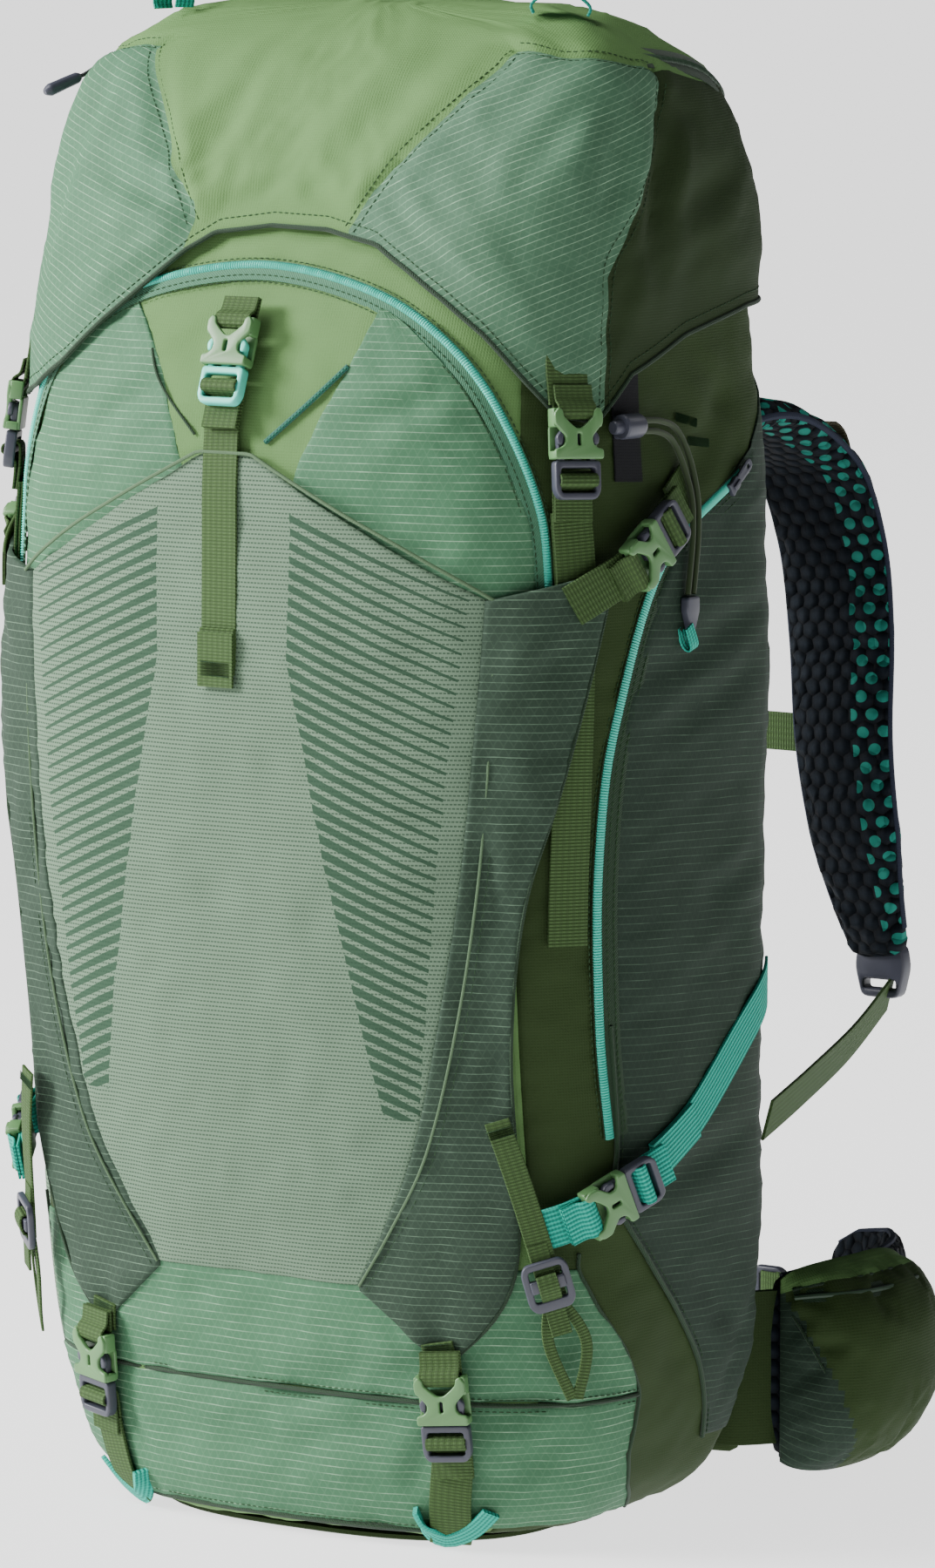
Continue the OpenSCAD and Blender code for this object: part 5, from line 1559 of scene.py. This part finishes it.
def side_cord_lock():
    """Barrel cord lock with its button, on a black patch."""
    barrel = lathe_part([(-7, 0.05), (-7, 3.5), (-7, 5.4), (-6.2, 6), (4.5, 6), (6.4, 5), (7, 3), (7, 0.05)])
    foot = plate(box_outline(-6.5, 6.5, -5.6, 5.6, 2), 0.1, 3.2, bevel=0.7)
    parts = [at_seat(part, LOCK_SEAT) for part in (barrel, foot)]
    piece("side_cord_lock_moulded", parts, "root", "charcoal", "side_cord_lock")
    button = lathe_part([(-12.5, 0.05), (-12.5, 2.6), (-12, 3.3), (-5, 3.3), (-4, 3.2), (-4, 0.05)])
    piece("side_cord_button_moulded", [at_seat(button, LOCK_SEAT)], "side_cord_button", "charcoal",
          "side_cord_button")
    patch = strip_part([(165, -36, 572), (167, -38, 545), (169, -40, 518)], 19, -0.6, 1.2)
    piece("side_cord_patch_cloth", [patch], "root", "black", "side_cord_patch")
    tacks = []
    for place, towards in (([176, 3, 546], [176, 12, 544]), ([177, 12, 534], [177, 20, 533])):
        tacks += bartack_parts(place, towards, 4, 0.3, rows=8)
    piece("side_cord_bartacks", tacks, "root", "thread")


# --------------------------------------------------------------------------------------------------------- collar
MOUTH_R = 60
MOUTH_C = np.array([0, 20, 662])
# Rings of the collar: height, offset from the bag and share of the way to the mouth
GATHER = [(604, -6, 0), (614, -7.5, 0), (622, -9, 0), (632, -11, 0), (640, -13, 0), (648, -16, 0.3),
          (652, -17, 0.48), (656, -18, 0.65), (659, -19, 0.84), (662, -20, 1)]
PLEATS = 34


def circle(centre, radius, turn):
    """Points of a level circle in directions given in radians."""
    return centre + radius * np.stack([np.cos(turn), np.sin(turn), 0 * turn], -1)


def collar():
    """Lining collar that rises inside the lid and gathers to its drawcord, in a fan of pleats."""
    a = np.linspace(-180, 180, PLEATS * 8, endpoint=False)
    mouth = circle(MOUTH_C, MOUTH_R, np.radians(a))
    rows = []
    for z, d, share in GATHER:
        q = bag_at(np.full_like(a, z), a)
        rim = q + bag_normal(q) * d
        pleat = (np.sin(np.radians(a) * PLEATS) * (0.3 + 2.0 * share) - 0.3)[:, None]
        rows.append(rim + (mouth - rim) * share + UP * pleat * share - bag_normal(q) * np.abs(pleat) * 0.3)
    grid = np.array(rows)
    uv = uv_grid(140 * np.radians(a)[None], np.linspace(0, 120, len(rows))[:, None])
    part = (*slab(grid, grid - UP * 0.7, closed=True), np.tile(uv, (2, 1)))
    obj = piece("collar_cloth", [part], "root", "lining", "collar")
    ring_line = circle(MOUTH_C + UP * 2.2, MOUTH_R + 2, np.linspace(0, 2 * math.pi, 80))
    piece("collar_drawcord_braid", [tube_part(ring_line, 1.5, sides=10, caps=False)], "root", "black_cord",
          "collar_drawcord")


# -------------------------------------------------------------------------------------------------- padded parts
PAD_AROUND = 36


def strap_widths(widths, share):
    """Width of a padded strap along it, as a share of its full width."""
    return np.interp(share, *np.array(widths, float).T) if widths else np.ones(len(share))


def pad_part(line, across, width, thick, widths=None, puff=0.0, seed=1):
    """A padded strap along a line: points, faces and uv. u runs along it and v across it."""
    way = smooth(line, 10)
    way = even(way, max(12, int(length_of(way) / 4)))
    along, side = along_and_side(way, across)
    out = np.cross(along, side)
    t = np.linspace(0, 2 * math.pi, PAD_AROUND, endpoint=False)
    c, s = np.cos(t), np.sin(t)
    flat = np.sign(c) * np.abs(c) ** (1 / 3)
    deep = np.sign(s) * np.abs(s) ** (2 / 3)
    run = run_of(way)
    tail = np.sqrt(np.clip(1 - (1 - np.clip(np.minimum(run, run[-1] - run) / 8, 0, 1)) ** 2, 0.03, 1))
    half_w = (width / 2 * strap_widths(widths, run / run[-1]) * (0.6 + 0.4 * tail))[:, None]
    half_t = (thick / 2 * (0.25 + 0.75 * tail))[:, None]
    crown = 0.62 + 0.38 * (1 - np.abs(flat) ** 4)[None]
    rings = (way[:, None] + side[:, None] * (half_w * flat[None])[..., None]
             + out[:, None] * (half_t * crown * deep[None])[..., None])
    rings = rings + out[:, None] * (puff * rumple(rings, 16, seed) * deep[None])[..., None]
    faces = grid_faces(len(way), PAD_AROUND, closed=True) + end_caps(len(way), PAD_AROUND)
    return rings.reshape(-1, 3), faces, uv_grid(run[:, None], half_w * flat[None])


def pad_edges(line, across, width, radius, widths):
    """Two bindings along a padded strap's edges."""
    way = even(smooth(line, 10), 60)
    _, side = along_and_side(way, across)
    share = np.linspace(0, 1, 60)
    keep = (share > 0.02) & (share < 0.98)
    half = ((width / 2 - 0.6) * strap_widths(widths, share))[:, None]
    return [tube_part((way + side * s * half)[keep], radius) for s in (-1, 1)]


def swell(obj, held, cap, slack=0.03):
    """Let a closed piece of cloth that is cut a little too large fill and crease, with its seams held.

    No point moves further than cap, in millimetres.
    """
    scene = bpy.context.scene
    start = np.array([v.co for v in obj.data.vertices])
    obj.vertex_groups.new(name="held").add([int(k) for k in held], 1.0, "REPLACE")
    cloth = obj.modifiers.new("swell", "CLOTH")
    cloth.settings.quality = 5
    cloth.settings.use_pressure = True
    cloth.settings.uniform_pressure_force = 4.0
    cloth.settings.vertex_group_mass = "held"
    cloth.settings.shrink_min = -slack
    cloth.settings.effector_weights.gravity = 0
    for number in range(1, 21):
        scene.frame_set(number)
    filled = obj.evaluated_get(bpy.context.evaluated_depsgraph_get())
    end = np.array([v.co for v in filled.to_mesh().vertices])
    filled.to_mesh_clear()
    obj.modifiers.remove(cloth)
    obj.vertex_groups.clear()
    scene.frame_set(1)
    move = end - start
    far = np.linalg.norm(move, axis=1, keepdims=True)
    end = start + move * np.minimum(1, cap * MM / np.maximum(far, 1e-9))
    obj.data.vertices.foreach_set("co", end.ravel())
    obj.data.update()


def pad_seams(obj):
    """The points of a padded strap along its two edges and at its ends."""
    index = np.arange(len(obj.data.vertices))
    half = PAD_AROUND // 2
    near = np.minimum(index % half, (-index) % half) < 3
    return index[near | (index < 2 * PAD_AROUND) | (index >= len(index) - 2 * PAD_AROUND)]


def slab_seams(obj, rows, cols, rim=2):
    """The points of a slab along its rim and all over its inner side."""
    index = np.arange(len(obj.data.vertices))
    row, col = index // cols, index % cols
    return index[(index >= rows * cols) | (row < rim) | (row >= rows - rim) | (col < rim) | (col >= cols - rim)]


def padded_strap(name, side, body, line, across, size, widths, key, node, cap, puff, seed, binding):
    """A puffy strap of a given width and thickness that is filled by simulation, with its edge bindings."""
    width, thick = size
    pad = side_piece(f"{name}_mesh", [pad_part(line, across, width, thick, widths, puff, seed)], side, body, key,
                     node)
    swell(pad, pad_seams(pad), cap)
    side_piece(f"{name}_binding", pad_edges(line, across, width, binding, widths), side, body, "navy_binding")


STRAP_LINE = [(52, 142, 462), (53, 155, 500), (56, 196, 524), (62, 246, 526), (70, 288, 500), (77, 304, 458),
              (83, 304, 410), (88, 298, 360), (93, 298, 320), (97, 305, 280), (101, 316, 242)]
STRAP_W = 64
STRAP_T = 15
STRAP_WIDTHS = [(0, 1), (0.45, 1), (0.62, 0.94), (0.86, 0.8), (1, 0.5)]
LIFTER = [(66, 128, 564), (68, 170, 560), (70, 222, 543)]
HARNESS_WEB = [(103, 322, 222), (118, 258, 206), (138, 180, 196), (152, 118, 188)]
HAUL_LOOP = [(-42, 127, 578), (-40, 142, 578), (-26, 152, 579), (0, 155, 579), (26, 152, 579), (40, 142, 578),
             (42, 127, 578)]


def shoulder_straps():
    """Puffy mesh straps with a bound edge, a moulded tip and a webbing tab, in mirrored pairs."""
    outline = rounded([(-13, 6), (13, 6), (15, -6), (11, -22), (-11, -22), (-15, -6)], 4)
    points, faces, _ = plate(outline, -4.4, 4.4, [box_outline(-9.5, 9.5, -17.5, -12.5, 1.6)], bevel=1.4)
    tip = (points[:, [0, 2, 1]] + [101.5, 317.5, 242], [f[::-1] for f in faces], None)
    tab = band_part([(72, 291, 498), (72, 284, 512), (74, 292, 520), (77, 302, 510), (79, 306, 480),
                     (80, 306, 455)], X_AXIS, 22, 1.6)
    for side, _ in SIDES:
        name = f"shoulder_strap_{side}"
        padded_strap(name, side, "harness", STRAP_LINE, X_AXIS, (STRAP_W, STRAP_T), STRAP_WIDTHS, "mesh_dots",
                     name, cap=3, puff=0.9, seed=71, binding=1.9)
        side_piece(f"{name}_tip", [tip], side, "harness", "charcoal")
        side_piece(f"{name}_tab", [tab], side, "harness", "brown")


def harness_webs():
    """Load lifters and lower webbings between the bag and the harness."""
    lifter = band_part(LIFTER, X_AXIS, 20, 1.6)
    web = band_part(HARNESS_WEB, (0.3, 0, 1), 22, 1.6)
    for side, _ in SIDES:
        for name, part, (start, *_, end), node in (("load_lifter", lifter, LIFTER, "load_lifters"),
                                                   ("lower_harness_webbing", web, HARNESS_WEB[::-1],
                                                    "lower_harness_webbings")):
            obj = bending_piece(f"{name}_{side}_strap", part, side, "olive", start, end)
            if side == "right":
                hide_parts(node)


def pad_channels(q):
    """Rise of the back pad over its vertical channels."""
    x = np.abs(q[..., 0])
    return -3.2 * np.exp(-(x / 9) ** 2) - 1.6 * np.exp(-((x - 48) / 6) ** 2)


def back_pads():
    """Mesh back pad with vertical channels, lumbar pad, yoke plate and haul loop."""
    back = panel("back_pad_mesh", *between(upright(52, 150, 556), upright(128, 150, 556)), "mesh", ["back_pad"],
                 lift=7.0, thick=7.8, drop=4.0, crumple=0.8, size=30, seed=81, rise=pad_channels, pitch=5)
    lumbar = panel("lumbar_pad_mesh", *between(upright(50, 30, 142), upright(130, 30, 142)), "mesh",
                   ["lumbar_pad"], lift=9.0, thick=8.6, drop=5.0, crumple=0.8, size=26, seed=82, pitch=5)
    outline = rounded([(-84, 430), (84, 430), (84, 470), (60, 500), (-60, 500), (-84, 470)], 12)
    points, faces, _ = plate(outline, 128.5, 132.5, bevel=1.2)
    yoke = (points[:, [0, 2, 1]], [f[::-1] for f in faces], points[:, :2] * MM)
    piece("yoke_pad", [yoke], "harness", "mesh", "yoke")
    piece("haul_loop_strap", [band_part(HAUL_LOOP, (0, 0.2, 1), 18, 2.6, step=2)], "root", "olive", "haul_loop")


def facing_back(part, at):
    """A part made in a buckle's own frame, turned to face the wearer's way, at a point."""
    points, faces, uv = part
    return np.asarray(points, float)[:, [0, 2, 1]] * [1, 1, -1] + at, faces, uv


STERNUM_AT = (0, 311, 356)


def sternum():
    """Sternum strap between the shoulder straps, with its release buckle."""
    webs = [band_part([(end, 308.4, 356), (middle, 310, 356), (start, 311.4, 356)], UP, WEB_W, WEB_T)
            for end, middle, start in ((94, 60, 27), (-89, -55, -27))]
    webs.append(facing_back(turn_part(FEMALE_WRAP), STERNUM_AT))
    piece("sternum_webbing", webs, "sternum", "olive", "sternum_strap")
    females = [facing_back(part, STERNUM_AT) for part in TEMPLATES["female"]]
    piece("sternum_buckle_outer_half", females, "sternum", "green_plastic")
    males = [facing_back(part, STERNUM_AT) for part in TEMPLATES["male"]]
    piece("sternum_buckle_male_moulded", males, "sternum_buckle_male", "charcoal", "sternum_buckle_male")
    wrap = facing_back(turn_part(MALE_WRAP), STERNUM_AT)
    piece("sternum_buckle_male_strap", [wrap], "sternum_buckle_male", "olive")
    keepers = [facing_back(part, (x, 310.5, 356)) for x in (84, -84) for part in TEMPLATES["ladder"]]
    piece("sternum_keepers", keepers, "sternum", "charcoal")


# ----------------------------------------------------------------------------------------------------- hip belt
WING_LINE = [(136, 147), (148, 170), (152, 200), (149, 236), (136, 270), (110, 296), (78, 306)]
WING_H = 96
WING_T = 12
WING_MIDDLE = 9 + WING_H / 2
ROOT_LINE = [(-128, 138), (-100, 131.5), (-60, 131), (0, 131), (60, 131), (100, 131.5), (128, 138)]
HIP_WIDTHS = [(0, 0.94), (0.1, 1), (0.72, 1), (0.9, 0.86), (1, 0.62)]
HIP_POCKET_OUT = 32
HIP_POCKET_Z = (2, 110)
HINGE_LINE = [(112, 132), (124, 134), (137, 148), (146, 166)]
BELT_AT = (316, 58)


def hip_bulge(u, v):
    """How full a hip pocket is, from 0 at its seams to 1: fuller low down and towards the bag."""
    return (1 - np.abs(u + 0.12 * (1 - u ** 2)) ** 3) * (1 - np.abs(v - 0.1 * (1 - v ** 2)) ** 2.8)


def hip_surface(u, v, lift=0.0):
    """Point of a hip pocket's skin: u runs along the wing, v up, both from -1 to 1."""
    u, v = np.broadcast_arrays(np.asarray(u, float), np.asarray(v, float))
    way = smooth([(x, y, 0) for x, y in WING_LINE], 12)[2:44]
    along = unit(np.gradient(way, axis=0))
    share = (u + 1) / 2 * (len(way) - 1)
    index = np.arange(len(way))
    at = np.stack([np.interp(share, index, way[:, k]) for k in range(2)], -1)
    turn = np.stack([np.interp(share, index, along[:, k]) for k in range(2)], -1)
    out = np.stack([turn[..., 1], -turn[..., 0]], -1)
    bulge = hip_bulge(u, v)
    d = WING_T / 2 + 2 + HIP_POCKET_OUT * bulge + lift
    low, high = HIP_POCKET_Z
    tall = 1 - 0.42 * np.clip(u, 0, 1) ** 3 - 0.14 * np.clip(-u, 0, 1) ** 4
    z = (low + high) / 2 + (high - low) / 2 * v * tall
    return np.concatenate([at + out * d[..., None], z[..., None]], -1)


POCKET_HALF = (65, 53)


def pocket_slant(up):
    """Where the slanted seam of a hip pocket runs, as a place along it for each height on it."""
    return -0.72 - 0.34 * up


def hip_pocket_key(along, up):
    """Which cloth of a hip pocket is at a place: 0 the dark copy of the packcloth, 1 the dark copy of the ripstop at
    the slanted end, both with painted shade, and 2 the lighter plain packcloth over the zip.
    """
    if along < pocket_slant(up):
        return 1
    return 2 if up > 0.84 else 0


def hip_pocket(side):
    """Zipped pocket on a wing: plain cloth with a ripstop end, a covered zip and light piping."""
    body = f"hip_wing_{side}"
    u = np.linspace(-1, 1, 54)[None, :]
    v = np.linspace(-1, 1, 40)[:, None]
    outer = hip_surface(u, v)
    centre = np.array([120.0, 215.0, 59.0])
    wrinkle = 1.4 * rumple(outer, 30, 91) + 0.6 * rumple(outer, 12, 92)
    inside = ((1 - u ** 6) * (1 - v ** 6))[..., None]
    outer = outer + unit(outer - centre) * wrinkle[..., None] * inside
    inner = hip_surface(u, v, -HIP_POCKET_OUT * hip_bulge(u, v) - 1)
    uv = np.tile(uv_grid(u * POCKET_HALF[0], v * POCKET_HALF[1]), (2, 1))
    # The pocket is in the darker copy of the packcloth and its slanted end in the darker copy of the ripstop: painted
    # shade.
    obj = side_piece(f"hip_pocket_{side}_cloth", [(*slab(outer, inner), uv)], side, body, "plain_painted_shade",
                     f"hip_pocket_{side}")
    swell(obj, slab_seams(obj, *outer.shape[:2]), cap=5, slack=0.05)
    add_material(obj, "ripstop_side_painted_shade")
    add_material(obj, "plain")
    for face in obj.data.polygons:
        face.material_index = hip_pocket_key(*uv[face.vertices[0]] / MM / POCKET_HALF)
    along = np.linspace(-0.9, 0.9, 60)
    zip_v = 0.74 + 0.05 * along ** 2
    grid = np.array([hip_surface(along, zip_v + dv, 0.7) for dv in (-0.055, -0.02, 0.02, 0.055)])
    tape_uv = uv_grid(np.linspace(0, 120, 60)[None], np.array([0, 2, 4, 6])[:, None])
    tape_part = (*slab(grid, grid - (grid - centre) * 0.012), np.tile(tape_uv, (2, 1)))
    side_piece(f"hip_pocket_{side}_zip_tape", [tape_part], side, body, "dark_tape")
    bead = tube_part(hip_surface(along, zip_v, 1.6), 1.3)
    side_piece(f"hip_pocket_{side}_zip_coil", [bead], side, body, "dark_coil")
    up = np.linspace(-0.92, 0.6, 40)
    piping = [tube_part(hip_surface(along, 0.85, 0.4), 0.9),
              tube_part(hip_surface(pocket_slant(up), up, 0.2), 0.8)]
    side_piece(f"hip_pocket_{side}_piping", piping, side, body, "dark_tape")


def belt_web(turn, end, middle, start):
    """Webbing of the belt from a wing to its buckle half, on the right for turn 1 or on the left for -1."""
    y, z = BELT_AT
    path = [(turn * end, 308, z), (turn * middle, y - 1.5, z), (turn * start, y + 0.6, z)]
    return band_part(path, UP, 22, WEB_T)


def hip_belt():
    """Padded root and wings, pockets, webbing and the two halves of the belt buckle."""
    root_line = [(x, y, WING_MIDDLE) for x, y in ROOT_LINE]
    root_part = pad_part(root_line, UP, WING_H * 0.9, 7, puff=0.5, seed=95)
    # The root pad is in the darker copy of the packcloth, with painted shade.
    piece("hip_belt_root_pad", [root_part], "root", "plain_painted_shade", "hip_belt_root")
    line = [(x, y, WING_MIDDLE) for x, y in WING_LINE]
    hinge = [(x, y, WING_MIDDLE) for x, y in HINGE_LINE]
    hinge_part = band_part(hinge, UP, WING_H * 0.82, 4, step=2)
    for side, _ in SIDES:
        body = f"hip_wing_{side}"
        padded_strap(body, side, body, line, UP, (WING_H, WING_T), HIP_WIDTHS, "mesh", body, cap=2, puff=0.8,
                     seed=96, binding=1.8)
        hip_pocket(side)
        # The hinge is in the darker copy of the packcloth, with painted shade.
        bending_piece(f"hip_hinge_{side}_cloth", hinge_part, side, "plain_painted_shade", hinge[1], hinge[2])
    for kind, wrap, turn, ends, at_x, body, key, node in (
            ("inner", MALE_WRAP, 1, (88, 64, 44), 19, "belt_strap_right", "charcoal", "belt_strap_right"),
            ("outer", FEMALE_WRAP, -1, (88, 60, 30), -4, "hip_wing_left", "green_plastic", "belt_strap_left")):
        at = (at_x, *BELT_AT)
        half = TEMPLATES["male" if kind == "inner" else "female"]
        piece(f"{node}_webbing", [belt_web(turn, *ends), facing_back(turn_part(wrap), at)], body, "olive", node)
        piece(f"belt_buckle_{kind}_half", [facing_back(part, at) for part in half], body, key)


# ---------------------------------------------------------------------------------------------- seams and trims
LOW_SEAM = [(-165, -20, 75), (-158, -62, 75), *[(x, -100, 75) for x in (-120, -60, 0, 60, 120)],
            (158, -62, 75), (165, -20, 75)]
BASE_SEAM = [(x, -95, 9) for x in (-110, -60, 0, 60, 110)]


def tube_on_bag(line, lift, radius):
    """A tube along a smooth line on the bag."""
    line = even(line, max(4, int(length_of(line) / 3)))
    return tube_part(lifted(line, lift), radius)


def seams():
    """Piping and topstitching of the body, and the cords in the front's slits."""
    pocket_side = [(x, -100, z) for x, z in POCKET_EDGE]
    top = [(131, -100, 465), (100, -108, 482), (60, -114, 504), (14, -118, 530)]
    top += [(-x, y, z) for x, y, z in top[::-1]]
    piping = both(tube_on_bag(smooth(pocket_side), 2.4, 0.7))
    piping.append(tube_part(lifted(even(top, 90), 3.4), 0.9))
    piece("pocket_binding", piping, "root", "sage_binding")
    foot = foot_edges(9, 150)[1]
    free = lifted(even(smooth(WING_FREE), 120))
    hem = free + bag_normal(free) * (1.6 + wing_rise(free))[:, None]
    bindings = both(tube_on_bag(smooth(SIDE_SEAM[:8]), 0.0, 1.3))
    bindings += both(tube_on_bag(bag_at(foot[:, 1], foot[:, 0]), 0.2, 0.9))
    bindings += [tube_on_bag(smooth(LOW_SEAM), -0.2, 1.2), tube_on_bag(smooth(BASE_SEAM), -0.4, 1.5)]
    piece("seam_bindings", bindings + both(tube_part(hem, 0.9)), "root", "dark_tape")
    rows = stitch_parts(pocket_side, -4.0, 2.9, radius=0.22) + stitch_parts(flip(pocket_side), 4.0, 2.9, radius=0.22)
    rows += stitch_parts(LOW_SEAM, 3.2, 0.7) + stitch_parts(LOW_SEAM, -3.2, -0.2)
    rows += stitch_parts(BASE_SEAM, 3.4, 0.6)
    rows += stitch_parts(SIDE_SEAM, -3.4, 0.2) + stitch_parts(flip(SIDE_SEAM), 3.4, 0.2)
    piece("body_stitches", rows, "root", "thread")
    for name, path, lift, radius, key in (
            ("front_slit_cord", [(61, -116, 573), (43, -123, 555), (21, -127, 536)], 0.2, 1.3, "teal_cord"),
            ("front_slit_binding", [(-53, -115, 577), (-44, -119, 562), (-20, -125, 538)], 0.0, 0.7, "dark_tape")):
        piece(name, [tube_on_bag(smooth(path), lift, radius)], "root", key)


def lid_floor():
    """Cloth floor of the lid's pocket, sewn in below the dome."""
    height = 676
    a = np.linspace(-180, 180, 90, endpoint=False)
    rim = bag_at(np.full_like(a, height), a)
    rows = []
    for share in (0.955, 0.9, 0.78, 0.6, 0.4, 0.2, 0.02):
        flat = rim * [share, share, 0] + [0, 1, 0]
        sag = 2.4 * (1 - share ** 2) - 1.2 * rumple(flat, 60, 97)
        rows.append(flat + UP * (height + 0.2 - sag)[:, None])
    grid = np.array(rows)
    points, faces = slab(grid + UP * 1.2, grid, closed=True)
    piece("lid_floor_cloth", [(points, faces, points[:, :2] * MM)], "lid", "lining", "lid_floor")


def inner_parts():
    """CAD parts that are shown as they are, with rounded edges."""
    for node, key in {"frame_rod": "alloy", "frame_sheet": "charcoal", "collar_cord_lock": "charcoal"}.items():
        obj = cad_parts[node]
        obj.data.materials.clear()
        add_material(obj, key)
        bevel = obj.modifiers.new("rounding", "BEVEL")
        bevel.width = 0.6 * MM
        bevel.segments = 2
        bevel.limit_method = "ANGLE"


# ------------------------------------------------------------------------------------------- camera and studio
CAMERA_AT = Vector((2.125, -3.150, 0.84))
CAMERA_AIM = Vector((0.036, 0.024, 0.358))


def camera():
    data = bpy.data.cameras.new("camera")
    data.lens = 179
    data.sensor_width = 36
    data.sensor_fit = "AUTO"
    data.clip_end = 150
    obj = bpy.data.objects.new("camera", data)
    obj.location = CAMERA_AT
    obj.rotation_euler = (CAMERA_AIM - CAMERA_AT).to_track_quat("-Z", "Y").to_euler()
    bpy.context.scene.collection.objects.link(obj)
    bpy.context.scene.camera = obj


def area_light(name, at, aim, size, power):
    """A soft square light that points at a place."""
    data = bpy.data.lights.new(name, "AREA")
    data.size = size
    data.energy = power
    obj = bpy.data.objects.new(name, data)
    obj.location = at
    obj.rotation_euler = (Vector(aim) - Vector(at)).to_track_quat("-Z", "Y").to_euler()
    bpy.context.scene.collection.objects.link(obj)


def studio():
    """Pale floor under a large soft key light from the left front, with a weak fill."""
    mesh = bpy.data.meshes.new("floor")
    size = 60
    mesh.from_pydata([(-size, -size, 0), (size, -size, 0), (size, size, 0), (-size, size, 0)], [], [(0, 1, 2, 3)])
    floor = bpy.data.objects.new("floor", mesh)
    mesh.materials.append(floor_paint())
    bpy.context.scene.collection.objects.link(floor)
    world = bpy.data.worlds.new("studio")
    world.use_nodes = True
    world.node_tree.nodes["Background"].inputs["Color"].default_value = (0.95, 0.97, 1, 1)
    world.node_tree.nodes["Background"].inputs["Strength"].default_value = 0.05
    bpy.context.scene.world = world
    area_light("key", (-3.0, -2.2, 2.0), (0, 0, 0.4), 1.3, 420)
    area_light("top", (-0.9, -1.2, 3.0), (0, 0, 0.4), 1.4, 70)
    area_light("rim", (1.2, 2.4, 2.2), (0, 0, 0.5), 1.2, 8)


body_shell()
front_cloth()
side_cloth()
base_panel()
stretch_pocket()
pocket_wings()
bottle_pocket()
zips()
olive_webbings()
teal_webbings()
ladder_locks()
buckles()
lid_cover()
lid_trims()
lash_loops()
lid_floor()
sliders()
side_cord()
side_cord_lock()
collar()
shoulder_straps()
harness_webs()
back_pads()
sternum()
hip_belt()
seams()
inner_parts()
camera()
studio()
